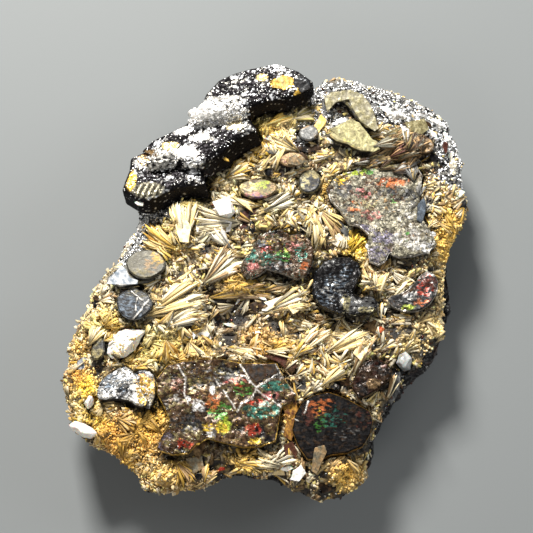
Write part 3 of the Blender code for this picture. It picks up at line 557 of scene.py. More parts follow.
# Thin plates. A fleck is: pixel, reach across and up in pixels, colour, share of the surface
plateSettings = {
    "large_plate": {
        "slot": "grey_plate", "base": "oliveGrey", "dark": "umber", "light": "stone", "rim": "white",
        "relief": 0.14, "metallic": 0.2, "roughness": 0.42, "terraced": 1.3, "tone": 0.7, "speckle": 0.9,
        "flecks": [
            (395, 205, 24, 22, "stone", 0.5), (370, 200, 24, 16, "tan", 0.35),
            (385, 190, 26, 8, "darkGrey", 0.5), (345, 188, 8, 9, "darkGrey", 0.8),
            (362, 186, 18, 7, "umber", 0.55), (400, 192, 16, 8, "darkGrey", 0.55),
            (350, 200, 6, 14, "umber", 0.5), (412, 200, 6, 16, "darkGrey", 0.5),
            (357, 169, 13, 3, "lime", 1.0), (371, 168, 6, 3, "green", 1.0),
            (340, 177, 8, 6, "yellow", 0.7), (395, 180, 16, 5, "orange", 0.8),
            (362, 192, 8, 4, "pink", 0.6), (386, 238, 13, 6, "lilac", 0.95),
            (356, 205, 7, 7, "orange", 0.5), (372, 215, 9, 7, "pink", 0.45),
            (371, 203, 8, 5, "paleOlive", 0.6), (403, 236, 6, 6, "green", 0.4),
            (393, 199, 5, 5, "green", 0.35), (421, 246, 13, 6, "silver", 0.6),
            (364, 228, 12, 4, "lilac", 0.9), (378, 252, 10, 5, "lilac", 0.7),
            (372, 262, 8, 9, "lilac", 0.7), (350, 212, 6, 8, "darkGrey", 0.5),
            (405, 215, 10, 10, "ash", 0.5), (385, 225, 16, 6, "stone", 0.6),
            (412, 238, 16, 10, "ash", 0.7), (402, 225, 12, 8, "stone", 0.8),
            (360, 180, 14, 6, "stone", 0.4), (412, 175, 8, 10, "oliveGrey", 0.7),
        ],
    },
    "brown_flake": {
        "slot": "brown_plate", "base": "tan", "dark": "umber", "light": "ash", "rim": "umber",
        "relief": 0.08, "metallic": 0.3, "roughness": 0.4, "flecks": [(418, 142, 10, 5, "olive", 0.5)],
    },
    "lobed_plate": {
        "slot": "black_plate", "base": "umber", "dark": "black", "light": "oliveGrey", "rim": "ash",
        "relief": 0.08, "metallic": 0.35, "roughness": 0.25, "terraced": 1, "tone": 0.5, "speckle": 0.6,
        "flecks": [
            (285, 256, 22, 10, "umber", 0.7), (266, 248, 6, 6, "red", 0.6),
            (262, 243, 7, 5, "blueGrey", 0.7), (282, 256, 7, 5, "green", 0.7),
            (294, 246, 8, 5, "pink", 0.55), (252, 267, 5, 5, "pink", 1.0),
            (303, 253, 7, 8, "teal", 0.8), (304, 267, 5, 4, "orange", 0.8),
            (272, 240, 12, 5, "olive", 0.6), (280, 249, 12, 5, "lime", 0.3),
            (296, 236, 12, 4, "tan", 0.5), (268, 258, 10, 6, "teal", 0.7),
            (251, 256, 5, 8, "teal", 0.7), (275, 243, 8, 4, "yellow", 0.4),
            (278, 268, 16, 5, "darkGrey", 0.8),
        ],
    },
    "black_oval_plate": {
        "slot": "black_plate", "base": "black", "dark": "black", "light": "black", "rim": "darkGrey",
        "relief": 0.12, "metallic": 0.5, "roughness": 0.2, "speckle": 0.35,
        "flecks": [
            (336, 284, 10, 12, "blueGrey", 0.55), (324, 298, 9, 9, "blueGrey", 0.6),
            (346, 272, 7, 8, "blueGrey", 0.45), (330, 290, 10, 10, "ash", 0.4),
            (350, 304, 10, 8, "grey", 0.95), (367, 303, 7, 7, "grey", 0.9),
            (345, 305, 4, 10, "paleOlive", 0.8), (355, 317, 12, 3, "paleOlive", 0.8),
            (366, 310, 8, 3, "paleOlive", 0.8), (327, 262, 16, 4, "grey", 0.5),
        ],
    },
    "rainbow_edge_plate": {
        "slot": "black_plate", "base": "darkGrey", "dark": "umber", "light": "ash", "rim": "ash",
        "relief": 0.06, "metallic": 0.35, "roughness": 0.28, "terraced": 1, "speckle": 0.85,
        "flecks": [
            (425, 288, 9, 13, "red", 0.6), (430, 281, 7, 7, "redBrown", 0.9),
            (406, 307, 7, 3, "lime", 1.0), (395, 302, 8, 6, "darkGrey", 0.9),
            (419, 301, 7, 5, "orange", 0.6), (411, 296, 8, 4, "ash", 0.5),
        ],
    },
    "cracked_plate": {
        "slot": "brown_plate", "base": "umber", "dark": "black", "light": "olive", "rim": "gold",
        "relief": 0.09, "metallic": 0.35, "roughness": 0.28, "terraced": 1, "tone": 0.6, "speckle": 0.85,
        "flecks": [
            (178, 385, 20, 18, "olive", 0.5), (215, 375, 22, 10, "grey", 0.5),
            (268, 370, 22, 7, "black", 0.8), (240, 400, 26, 16, "umber", 0.8),
            (225, 421, 6, 8, "lime", 0.95), (223, 425, 6, 6, "yellow", 0.8),
            (253, 426, 7, 6, "red", 0.95), (257, 437, 7, 3, "yellow", 0.85),
            (274, 384, 12, 5, "teal", 0.9), (272, 393, 8, 4, "pink", 0.8),
            (258, 400, 10, 3, "red", 0.8), (262, 408, 14, 8, "teal", 0.7),
            (243, 386, 12, 7, "green", 0.5), (220, 408, 10, 8, "green", 0.6),
            (214, 400, 7, 9, "orange", 0.6), (233, 380, 12, 6, "red", 0.35),
            (180, 385, 10, 10, "redBrown", 0.6), (196, 395, 8, 8, "redBrown", 0.6),
            (186, 440, 8, 5, "red", 0.6), (166, 436, 8, 14, "lilac", 0.4),
            (190, 418, 18, 8, "darkGrey", 0.6), (205, 388, 14, 8, "tan", 0.35),
            (240, 440, 20, 5, "tan", 0.5), (213, 386, 3, 6, "white", 0.9),
            (200, 403, 6, 6, "white", 0.9), (212, 429, 5, 5, "white", 0.95),
            (178, 394, 4, 4, "ash", 0.8), (191, 366, 8, 6, "black", 0.6),
            (165, 400, 5, 9, "black", 0.6), (190, 396, 3, 3, "white", 0.8),
            (210, 423, 8, 4, "yellow", 0.6), (193, 430, 8, 8, "olive", 0.5),
        ],
        "cracks": [
            (187, 375, 185, 390), (185, 390, 190, 401), (228, 371, 245, 374), (245, 374, 257, 385),
            (240, 362, 252, 380), (257, 385, 277, 371), (257, 388, 282, 404), (257, 385, 252, 396),
            (252, 396, 242, 400), (242, 400, 238, 408), (215, 375, 236, 405), (275, 362, 286, 378),
            (286, 378, 297, 394), (178, 362, 187, 375),
        ],
        "hollow": (217, 448, 16, 8),
    },
    "black_plate": {
        "slot": "black_plate", "base": "black", "dark": "black", "light": "umber", "rim": "ochre",
        "relief": 0.03, "metallic": 0.4, "roughness": 0.22, "tone": 0.42, "speckle": 0.5,
        "flecks": [
            (316, 404, 7, 9, "orange", 0.7), (320, 410, 6, 8, "yellow", 0.35),
            (320, 420, 7, 8, "green", 0.55), (308, 412, 6, 8, "redBrown", 0.8),
            (322, 402, 10, 6, "orange", 0.4), (340, 412, 14, 10, "teal", 0.3),
            (345, 430, 12, 7, "grey", 0.35), (358, 414, 12, 12, "redBrown", 0.3),
            (330, 418, 10, 8, "teal", 0.4),
        ],
        "cracks": [(308, 398, 304, 409), (292, 414, 298, 417), (290, 432, 296, 444)],
    },
    "brown_plate": {
        "slot": "brown_plate", "base": "umber", "dark": "black", "light": "redBrown", "rim": "umber",
        "relief": 0.05, "metallic": 0.4, "roughness": 0.22, "terraced": 1, "tone": 0.27,
        "flecks": [
            (371, 381, 7, 5, "tan", 0.9), (362, 390, 8, 6, "black", 0.9),
            (382, 368, 8, 5, "black", 0.8),
        ],
    },
    "olive_disc_plate": {
        "slot": "grey_plate", "base": "oliveGrey", "dark": "grey", "light": "stone", "rim": "darkGrey",
        "relief": 0.02, "metallic": 0.25, "roughness": 0.38, "tone": 0.3, "speckle": 0.4,
        "flecks": [
            (112, 280, 13, 6, "white", 1.2), (118, 273, 10, 7, "blueGrey", 0.9),
            (142, 266, 13, 11, "oliveGrey", 0.8), (130, 283, 12, 3, "white", 1.0),
            (152, 266, 7, 8, "tan", 0.6), (160, 258, 8, 7, "gold", 0.8),
            (138, 275, 12, 7, "olive", 0.6), (157, 276, 8, 5, "umber", 0.5),
        ],
    },
    "dark_disc_plate": {
        "slot": "grey_plate", "base": "darkGrey", "dark": "darkGrey", "light": "blueGrey", "rim": "grey",
        "relief": 0.02, "metallic": 0.35, "roughness": 0.34,
        "flecks": [
            (130, 304, 12, 12, "blueGrey", 0.5), (148, 300, 8, 12, "grey", 0.8),
            (137, 292, 10, 5, "olive", 0.5),
        ],
        "cracks": [(133, 291, 150, 306), (150, 301, 133, 320), (138, 298, 137, 310)],
    },
    "silver_plate": {
        "slot": "silver_plate", "base": "ash", "dark": "black", "light": "silver", "rim": "darkGrey",
        "relief": 0.3, "metallic": 0.4, "roughness": 0.36, "tone": 0.7, "terraced": 1,
        "flecks": [
            (112, 386, 14, 9, "darkGrey", 0.5), (116, 380, 14, 10, "blueGrey", 0.6),
            (125, 392, 8, 10, "black", 0.5), (110, 392, 12, 6, "white", 0.4),
            (150, 388, 11, 15, "gold", 1.0), (146, 380, 8, 9, "ochre", 0.6),
            (154, 398, 7, 8, "cream", 0.6),
        ],
    },
    "folded_olive_plate": {
        "slot": "olive_plate", "base": "olive", "dark": "grey", "light": "paleOlive", "rim": "black",
        "speckle": 0.15, "relief": 0.02, "metallic": 0.3, "roughness": 0.34,
        "flecks": [
            (362, 112, 12, 12, "paleOlive", 0.6), (350, 100, 14, 6, "grey", 0.6),
            (330, 100, 6, 8, "grey", 0.6),
        ],
    },
    "lower_olive_plate": {
        "slot": "olive_plate", "base": "paleOlive", "dark": "olive", "light": "straw", "rim": "black",
        "speckle": 0.15, "relief": 0.02, "metallic": 0.3, "roughness": 0.34, "tone": 0.75,
        "flecks": [(357, 140, 14, 5, "lime", 0.5), (344, 128, 10, 6, "ash", 0.6)],
    },
    "small_dark_disc": {
        "slot": "black_plate", "base": "darkGrey", "dark": "black", "light": "olive", "rim": "paleOlive",
        "relief": 0.02, "metallic": 0.35, "roughness": 0.3,
        "flecks": [
            (305, 180, 4, 8, "paleOlive", 0.9), (316, 172, 9, 4, "olive", 0.9),
            (313, 188, 6, 3, "grey", 0.6),
        ],
    },
    "yellow_disc": {
        "slot": "olive_plate", "base": "olive", "dark": "umber", "light": "straw", "rim": "umber",
        "relief": 0.03, "metallic": 0.25, "roughness": 0.42, "tone": 0.4,
        "flecks": [
            (262, 183, 10, 4, "lime", 0.8), (250, 185, 6, 5, "cream", 0.7),
            (256, 195, 14, 4, "pink", 0.9), (258, 196, 12, 3, "purple", 0.5),
            (272, 188, 5, 6, "tan", 0.7),
        ],
    },
    "red_brown_disc": {
        "slot": "brown_plate", "base": "tan", "dark": "redBrown", "light": "olive", "rim": "umber",
        "relief": 0.03, "metallic": 0.3, "roughness": 0.34, "flecks": [(292, 159, 10, 5, "redBrown", 0.7)],
    },
    "grey_disc": {
        "slot": "grey_plate", "base": "grey", "dark": "tan", "light": "ash", "rim": "darkGrey",
        "relief": 0.02, "metallic": 0.3, "roughness": 0.36, "flecks": [],
    },
    "olive_shard": {
        "slot": "grey_plate", "base": "olive", "dark": "darkGrey", "light": "grey", "rim": "darkGrey",
        "relief": 0.03, "metallic": 0.35, "roughness": 0.32, "flecks": [],
    },
}
# what the plates share, sizes in mm; the step is between points, the crack's width is a half
allPlates = {
    "step": 0.095, "terrace": 0.045, "crackWidth": 0.06, "crackLift": 0.05, "hollowDepth": 0.45,
    "tone": 0.5, "speckle": 0.7,      # unless a plate has its own
}


def camelName(nodeName):
    first, *rest = nodeName.split("_")
    return first + "".join(word.capitalize() for word in rest)


def crackShare(points, cracks):
    # 1 on the line of a crack, 0 away from it
    share = np.zeros(len(points))
    flat = points[:, :2] / mm
    wobble = 0.09 * np.c_[roughen(points, 0.8, 2, 61.0), roughen(points, 0.8, 2, 62.0)]
    for x0, y0, x1, y1 in cracks:
        start, end = np.array(spot(x0, y0, 8.2)), np.array(spot(x1, y1, 8.2))
        course = end - start
        along = np.clip(((flat - start) @ course) / (course @ course), 0, 1)
        away = np.linalg.norm(flat + wobble - start - along[:, None] * course, axis=1)
        share = np.maximum(share, np.clip(1.6 - away / allPlates["crackWidth"], 0, 1))
    return share


def makePlate(nodeName, number):
    s = plateSettings[nodeName]
    plate = copyOfNode(nodeName, camelName(nodeName))
    # the remesh grid is as fine as the plate is large
    cells = max(plate.dimensions) / (allPlates["step"] * mm)
    depth = min(7, max(5, math.ceil(math.log2(cells))))
    finishWith(plate, "REMESH", mode="SHARP", octree_depth=depth, scale=0.95, use_remove_disconnected=False)
    points, normals = pointsOf(plate), normalsOf(plate)
    seed = 11.0 + number
    broad = roughen(points, 1.3, 3, seed)
    scaly = roughen(points * np.array((0.7, 1.25, 1.0)), 0.33, 3, seed + 0.5)
    upper = np.clip((normals[:, 2] - 0.5) / 0.3, 0, 1)
    cracks = crackShare(points, s.get("cracks", [])) * upper
    steps = allPlates["terrace"] * np.round(broad * 2.6) * s.get("terraced", 0)
    lift = (s["relief"] * (0.6 * broad + 0.12 * scaly) + steps) * upper + 0.03 * scaly * (1 - upper)
    lift += allPlates["crackLift"] * cracks
    hollow = np.zeros(len(points))
    if "hollow" in s:
        hollow = np.clip((1.1 - reachOf(points, *s["hollow"], 8.0) + 0.4 * scaly) * 2, 0, 1) * upper
        lift -= allPlates["hollowDepth"] * hollow
    points += normals * (lift * mm)[:, None]
    movePoints(plate, points)

    base, dark, light = (np.array(colours[s[key]]) for key in ("base", "dark", "light"))
    tint = blend(base, dark, np.clip(-broad * 2.2 - 0.1, 0, 1))
    tint = blend(tint, light, np.clip(scaly * 2.2 - 0.3, 0, 1) * 0.8)
    # flecks run in short streaks
    streaks = roughen(points * np.array((0.5, 1.3, 1.0)), 0.22, 2, seed + 3)
    wander = roughen(points, 0.7, 3, seed + 7)
    for index, (px, py, across, up, colour, share) in enumerate(s["flecks"]):
        away = reachOf(points, px, py, across, up, 8.1) + 1.1 * wander * (-1) ** index
        fade = np.clip(1.3 - away, 0, 1)
        speck = np.clip((streaks * 1.5 + scaly * 0.9 * (-1) ** index + 1.9 * share - 1.1) * 2.5, 0, 0.9)
        tint = blend(tint, colour, np.minimum(fade * 2.0, 1) * speck * upper)
    # the hollow is painted black, a painted shade in the recess; the cracks are pale
    tint = blend(blend(tint, "black", hollow), "ash", cracks)
    tint = blend(tint * s.get("tone", allPlates["tone"]), tint, cracks)
    # the side walls take the rim colour, where pale rims stand in for light along the edge, and are painted
    # darker as the wall turns downward, a painted shade
    rim = np.array(colours[s["rim"]]) * np.clip(1.2 * normals[:, 2] + 0.25 + 0.3 * scaly, 0.1, 1)[:, None]
    tint = blend(tint, rim, np.clip((0.6 - normals[:, 2]) / 0.2, 0, 1))
    paint(plate, np.clip(tint, 0, 1))
    smoothShade(plate, 32)
    speckle = s.get("speckle", allPlates["speckle"])
    finish = plateFinish(plate.name + "Finish", s["metallic"], s["roughness"], speckle)
    settle(plate, finish, s["slot"], nodeName)
    return plate


plates = [makePlate(nodeName, number) for number, nodeName in enumerate(plateSettings)]
print("plates made", sum(len(p.data.polygons) for p in plates))


# Quartz grains, sizes in mm

quartzSettings = {
    "bevel": 0.08, "voxel": 0.09, "lumps": 0.1, "grain": 0.03,
    "milky": ((0.62, 0.60, 0.54), (0.90, 0.88, 0.82)),
    "smoky": ((0.12, 0.13, 0.13), (0.55, 0.57, 0.56)),
}


def makeQuartz(nodeName, finish):
    grain = copyOfNode(nodeName, camelName(nodeName))
    finishWith(grain, "BEVEL", width=quartzSettings["bevel"] * mm, segments=2)
    finishWith(grain, "REMESH", mode="VOXEL", voxel_size=quartzSettings["voxel"] * mm)
    points, normals = pointsOf(grain), normalsOf(grain)
    lift = quartzSettings["lumps"] * roughen(points, 0.9, 3, 40.0)
    lift += quartzSettings["grain"] * roughen(points, 0.3, 2, 41.0)
    points += normals * (mm * lift)[:, None]
    movePoints(grain, points)
    smoothShade(grain, 30)
    settle(grain, finish, "quartz", nodeName)
    return grain


milky = quartzFinish("milkyQuartz", *quartzSettings["milky"])
smoky = quartzFinish("smokyQuartz", *quartzSettings["smoky"])
quartzNodes = [name for name in frame["nodes"] if name.startswith("quartz")]
quartzGrains = [makeQuartz(name, smoky if "right" in name else milky) for name in sorted(quartzNodes)]
print("quartz made", len(quartzGrains))


# What lies where on the face

def treeOf(*pieces):
    # one search tree over the faces of all the pieces
    points, faces = [], []
    for piece in pieces:
        start = len(points)
        points.extend(vertex.co.copy() for vertex in piece.data.vertices)
        faces.extend([start + index for index in face.vertices] for face in piece.data.polygons)
    return BVHTree.FromPolygons(points, faces)


def heightAt(x, y, tree):
    # how high a mesh stands at a place in mm, or None off it
    hit = tree.ray_cast(Vector((x, y, 30)) * mm, Vector((0, 0, -1)))
    return None if hit[0] is None else hit[0].z / mm


plateTree = treeOf(thickCrystals, *plates, *quartzGrains)


def underPlate(x, y):
    return heightAt(x, y, plateTree) is not None


def shadeBelow(points):
    # 1 in the narrow gap in front of a plate, where it throws its shadow
    gap = 0.42      # mm
    x, y = points[:, 0] / mm, points[:, 1] / mm
    return np.array([float(underPlate(px, py + gap)) for px, py in zip(x, y)])


# The rutile mat, and what shows through it
matSettings = {
    "voxel": 0.18, "roughness": 0.2, "mounds": 0.28,      # mm
    "pocketShare": 0.33,      # how much of it is dark pockets, more or less
    # where the face is of another colour: pixel, radius in pixels, colour, strength
    "zones": [
        (165, 412, 13, "gold", 1.4), (150, 432, 18, "ochre", 1.1), (128, 450, 16, "gold", 1.1),
        (185, 466, 14, "gold", 1.1), (245, 456, 15, "gold", 1.1), (342, 466, 15, "gold", 1.1),
        (455, 232, 12, "gold", 0.9), (165, 352, 20, "lemon", 1.0), (130, 352, 16, "gold", 1.0),
        (195, 348, 16, "gold", 1.0), (178, 358, 10, "ochre", 0.8), (122, 258, 13, "cream", 1.0),
        (108, 284, 12, "ivory", 0.9), (96, 312, 12, "cream", 0.8), (132, 240, 12, "ivory", 1.0),
        (190, 208, 16, "lemon", 0.9), (160, 226, 10, "lemon", 0.8), (150, 345, 14, "lemon", 0.7),
        (112, 318, 13, "lemon", 0.7), (300, 115, 16, "lemon", 0.9), (285, 135, 14, "cream", 0.9),
        (265, 125, 12, "lemon", 0.9), (270, 205, 12, "lemon", 0.6), (238, 188, 16, "lemon", 0.6),
        (230, 176, 12, "cream", 0.8), (100, 405, 12, "cream", 0.7), (257, 342, 15, "ochre", 1.2),
        (285, 345, 14, "gold", 0.9), (356, 246, 12, "yellow", 1.5), (88, 386, 13, "yellow", 1.3),
        (78, 372, 12, "ochre", 0.9), (120, 432, 22, "ochre", 1.1), (150, 420, 14, "gold", 1.2),
        (95, 415, 14, "yellow", 0.8), (105, 325, 14, "gold", 0.9), (160, 245, 16, "yellow", 0.8),
        (240, 285, 14, "gold", 0.9), (330, 190, 9, "gold", 1.2), (288, 412, 9, "ochre", 1.2),
        (80, 345, 10, "gold", 0.8), (175, 415, 10, "gold", 0.8), (452, 215, 13, "gold", 1.0),
        (445, 250, 14, "gold", 1.0), (440, 290, 16, "straw", 0.9), (442, 232, 14, "gold", 0.9),
        (435, 330, 16, "straw", 0.9), (412, 340, 13, "straw", 0.9), (375, 268, 9, "ochre", 0.8),
        (240, 460, 20, "gold", 0.5), (330, 455, 16, "tan", 0.6), (345, 478, 14, "gold", 0.6),
        (265, 135, 16, "gold", 0.8), (300, 100, 14, "straw", 0.7), (255, 155, 8, "yellow", 1.1),
        (400, 148, 20, "tan", 1.2), (385, 152, 16, "olive", 0.7), (160, 470, 14, "gold", 0.6),
        (185, 480, 14, "tan", 0.5), (228, 318, 20, "umber", 1.0), (245, 305, 10, "umber", 0.8),
        (222, 296, 10, "umber", 0.8), (275, 326, 9, "tan", 0.7), (262, 300, 8, "umber", 0.6),
        (247, 215, 10, "umber", 0.9), (296, 330, 9, "umber", 0.6), (140, 290, 10, "umber", 0.5),
        (220, 447, 14, "umber", 0.9), (390, 330, 12, "umber", 0.7), (350, 325, 12, "umber", 0.8),
        (330, 385, 12, "umber", 0.8), (300, 385, 10, "umber", 0.7), (385, 375, 14, "umber", 0.7),
        (200, 470, 12, "umber", 0.4), (290, 480, 16, "umber", 0.6), (265, 385, 8, "umber", 0.6),
    ],
    # the silver rim, along the upper right and below the thick crystals: pixel, radius
    "silver": [
        (318, 90, 12), (330, 86, 16), (345, 85, 18), (360, 88, 18), (380, 95, 20), (398, 101, 20),
        (415, 108, 20), (430, 116, 20), (442, 126, 20), (452, 142, 18), (458, 160, 16), (460, 178, 12),
        (446, 150, 14), (448, 172, 12), (325, 108, 14), (312, 125, 14), (302, 138, 9), (395, 115, 14),
        (340, 120, 12), (384, 110, 12), (147, 214, 17), (143, 228, 17), (136, 242, 14), (130, 252, 12),
        (122, 263, 9), (163, 210, 12),
    ],
    # where hematite shows: pixel, radius
    "bare": [
        (236, 478, 14), (256, 479, 15), (275, 481, 14), (222, 472, 9), (300, 489, 8), (325, 484, 9),
        (338, 489, 8), (392, 388, 11), (401, 371, 9), (386, 405, 10), (378, 424, 8), (412, 368, 8),
        (425, 352, 7), (434, 340, 6), (449, 292, 6), (450, 275, 5), (449, 308, 6), (371, 440, 6),
        (366, 455, 5), (247, 213, 9), (232, 318, 10), (243, 304, 6), (262, 300, 6), (218, 318, 7),
        (298, 330, 6), (140, 290, 6), (100, 342, 8), (96, 300, 6), (345, 325, 8), (335, 382, 9),
        (303, 383, 7), (372, 345, 6), (395, 332, 6), (330, 235, 6), (312, 222, 5), (290, 228, 5),
        (268, 170, 6), (300, 143, 8), (290, 165, 6), (220, 460, 8), (185, 230, 5), (205, 250, 6),
        (165, 300, 5), (190, 322, 6), (262, 372, 6), (300, 366, 6), (283, 358, 6), (222, 300, 9),
        (228, 337, 8), (210, 288, 6), (275, 324, 7), (312, 338, 6), (340, 347, 7), (366, 322, 6),
        (240, 318, 8), (128, 268, 4), (415, 265, 6), (408, 330, 5), (255, 455, 5), (292, 446, 7),
        (320, 470, 6), (436, 155, 6),
    ],
    # where the rutile is a crust of crumbs: pixel, radius
    "granular": [
        (440, 185, 18), (455, 215, 18), (450, 245, 16), (440, 282, 18), (436, 320, 18), (424, 343, 12),
        (100, 315, 16), (84, 342, 14), (90, 380, 18), (110, 425, 26), (150, 440, 20), (160, 470, 16),
        (346, 470, 16), (375, 268, 10), (356, 246, 15), (275, 120, 12), (322, 182, 8), (150, 410, 14),
        (190, 470, 12), (420, 262, 12), (165, 350, 16),
    ],
}


def awayFrom(points, px, py, radius):
    # how far each point lies from a pixel, seen from above: 1 at the radius
    x, y = spot(px, py)
    return np.hypot(points[:, 0] / mm - x, points[:, 1] / mm - y) / (radius * photo["mmPerPixel"])


def nearness(points, spots):
    # 1 at the middle of the nearest spot, fading away past its radius
    share = np.zeros(len(points))
    for px, py, radius in spots:
        share = np.maximum(share, np.exp(-(awayFrom(points, px, py, radius) ** 2)))
    return share


def zoneTints(points, base, reach=1.0):
    # the base colour at each point, drawn towards the zones that it lies in
    tint = np.array(base, float)
    wander = roughen(points, 2.2, 2, 5.0)
    for px, py, radius, colour, strength in matSettings["zones"]:
        share = reach * strength * np.exp(-(awayFrom(points, px, py, radius) ** 2) + 0.5 * wander)
        tint = blend(tint, colour, np.clip(share, 0, 0.95))
    return tint


def silverShare(points):
    return np.clip(1.7 * nearness(points, matSettings["silver"]) - 0.15, 0, 1)


def granularShare(points):
    return nearness(points, matSettings["granular"])


def goldShare(points):
    golden = [zone[:3] for zone in matSettings["zones"] if zone[3] in ("yellow", "gold", "ochre")]
    return nearness(points, golden)


def bareShare(points):
    # 1 where the face is painted nearly black, 0 under full rutile: the listed spots where hematite shows,
    # and pockets spread by noise
    wander = roughen(points, 1.2, 3, 81.0)
    pockets = np.clip((wander - 0.62 + matSettings["pocketShare"]) * 3.5, 0, 1)
    known = np.clip(1.9 * nearness(points, matSettings["bare"]) + 0.7 * wander - 0.35, 0, 1)
    return np.maximum(pockets * (1 - 0.6 * goldShare(points)), known)


def makeMat():
    mat = copyOfNode("rutile_mat", "rutileMat")
    finishWith(mat, "REMESH", mode="VOXEL", voxel_size=matSettings["voxel"] * mm)
    points, normals = pointsOf(mat), normalsOf(mat)
    mounds = roughen(points, 2.0, 2, 3.0)
    ragged = roughen(points, 0.75, 4, 3.5)
    lift = matSettings["mounds"] * (mounds - 0.25) + matSettings["roughness"] * ragged
    points += normals * (mm * lift)[:, None]
    movePoints(mat, points)
    # low places are painted darker, both in the base colour and in the shade factor: a painted shade in the
    # hollows; the gap in front of each plate gets a painted shadow
    height = np.clip(0.5 + 0.7 * ragged + 0.35 * mounds, 0, 1)
    base = blend(np.array(colours["umber"]), np.array(colours["straw"]) * 0.75, height)
    tint = blend(zoneTints(points, base), np.array(colours["black"]) * 1.5, bareShare(points) * 0.92)
    tint = blend(tint, "grey", silverShare(points))
    shade = (0.22 + 0.8 * height) * (1 - 0.8 * shadeBelow(points))
    paint(mat, np.clip(tint * shade[:, None], 0, 1))
    smoothShade(mat, 60)
    settle(mat, matFinish(), "rutile", "rutile_mat")
    return mat


mat = makeMat()
matTree = treeOf(mat)
print("mat made", len(mat.data.polygons))


# Shapes that are repeated, each modelled once and read as arrays

def shapeArrays(piece):
    points = pointsOf(piece)
    faces = [tuple(face.vertices) for face in piece.data.polygons]
    bpy.data.objects.remove(piece)
    return points, faces


def bladeShape():
    # a flat blade from x 0 to 1, with a ridge on top and a chisel end
    deselectAll()
    bpy.ops.mesh.primitive_cube_add(size=1, location=(0, 0, 0))
    blade = bpy.context.object
    bpy.ops.object.mode_set(mode="EDIT")
    bpy.ops.mesh.select_all(action="SELECT")
    bpy.ops.mesh.subdivide(number_cuts=1)
    bpy.ops.object.mode_set(mode="OBJECT")
    points, faces = shapeArrays(blade)
    points[:, 0] += 0.5
    x, y, z = points[:, 0].copy(), points[:, 1].copy(), points[:, 2].copy()
    points[:, 1] = y * (0.45 + 0.55 * x)
    points[:, 2] = z * (0.8 + 0.2 * x) + np.where((np.abs(y) < 0.1) & (z > 0.3), 0.3, 0)
    points[:, 0] = x + np.where(x > 0.9, -0.12 * np.sign(y) * (np.abs(y) > 0.1), 0)
    points[:, 2] -= np.where((x > 0.9) & (z > 0.3), 0.25, 0)
    return points, faces


def chipShape():
    # a short five-sided blade, narrower at its root
    deselectAll()
    bpy.ops.mesh.primitive_cylinder_add(vertices=5, radius=0.55, depth=1)
    chip = bpy.context.object
    bpy.ops.object.mode_set(mode="EDIT")
    bpy.ops.mesh.select_all(action="SELECT")
    bpy.ops.transform.rotate(value=math.radians(90), orient_axis="Y", center_override=(0, 0, 0))
    bpy.ops.transform.translate(value=(0.5, 0, 0))
    bpy.ops.object.mode_set(mode="OBJECT")
    points, faces = shapeArrays(chip)
    x, y = points[:, 0].copy(), points[:, 1].copy()
    points[:, 1:] *= (0.5 + 0.5 * x)[:, None]
    points[:, 0] += np.where(x > 0.9, -0.18 * np.abs(y) - 0.2 * y, 0)
    return points, faces


def crumbShape():
    deselectAll()
    bpy.ops.mesh.primitive_ico_sphere_add(subdivisions=1, radius=0.5)
    crumb = bpy.context.object
    bpy.ops.object.mode_set(mode="EDIT")
    bpy.ops.mesh.select_all(action="SELECT")
    bpy.ops.transform.vertex_random(offset=0.16, seed=4)
    bpy.ops.transform.resize(value=(1.25, 0.85, 0.6))
    bpy.ops.object.mode_set(mode="OBJECT")
    return shapeArrays(crumb)


def plateletShape():
    # a six-sided tabular crystal, widest at its middle
    deselectAll()
    bpy.ops.mesh.primitive_cylinder_add(vertices=6, radius=0.42, depth=0.36)
    platelet = bpy.context.object
    bpy.ops.object.mode_set(mode="EDIT")
    bpy.ops.mesh.select_all(action="SELECT")
    bpy.ops.mesh.bisect(plane_co=(0, 0, 0.03), plane_no=(0, 0, 1))
    bpy.ops.transform.resize(value=(1.3, 1.3, 1))
    bpy.ops.object.mode_set(mode="OBJECT")
    return shapeArrays(platelet)


def joinedCopies(pieceName, shape, turns, places, tints, withUv=False, rootShade=1.0):
    # one mesh from many copies: turns holds each copy's 3 x 3 matrix, places its spot in mm
    points, faces = shape
    count, each = len(places), len(points)
    moved = np.einsum("nij,kj->nki", np.array(turns), points) + np.array(places)[:, None, :]
    corners = np.concatenate([np.array(face) for face in faces])
    sizes = np.array([len(face) for face in faces])
    allCorners = (corners[None, :] + (np.arange(count) * each)[:, None]).reshape(-1)
    allSizes = np.tile(sizes, count)
    starts = np.concatenate([[0], np.cumsum(allSizes)[:-1]])
    mesh = bpy.data.meshes.new(pieceName)
    mesh.vertices.add(count * each)
    mesh.vertices.foreach_set("co", (moved * mm).reshape(-1))
    mesh.loops.add(len(allCorners))
    mesh.loops.foreach_set("vertex_index", allCorners.astype(np.int32))
    mesh.polygons.add(len(allSizes))
    mesh.polygons.foreach_set("loop_start", starts.astype(np.int32))
    mesh.update(calc_edges=True)
    mesh.validate()
    piece = bpy.data.objects.new(pieceName, mesh)
    bpy.context.scene.collection.objects.link(piece)
    shade = rootShade + (1 - rootShade) * np.clip(points[:, 0] * 1.6, 0, 1)
    paint(piece, np.repeat(np.array(tints), each, axis=0) * np.tile(shade, count)[:, None])
    if withUv:
        layer = mesh.uv_layers.new(name="along")
        u = points[corners, 0]
        v = points[corners, 1]
        shift = np.arange(count)[:, None] * 0.37
        flat = np.stack([u[None, :] + shift, v[None, :] + shift * 1.3], axis=-1)
        layer.data.foreach_set("uv", flat.reshape(-1))
    return piece


def turned(heading, pitch, roll, size):
    # the matrix of a copy: length, width and height, then roll, pitch and heading in degrees
    turn = Matrix.Rotation(math.radians(heading), 3, "Z")
    turn = turn @ Matrix.Rotation(math.radians(-pitch), 3, "Y")
    turn = turn @ Matrix.Rotation(math.radians(roll), 3, "X")
    return np.array(turn) * np.array(size)


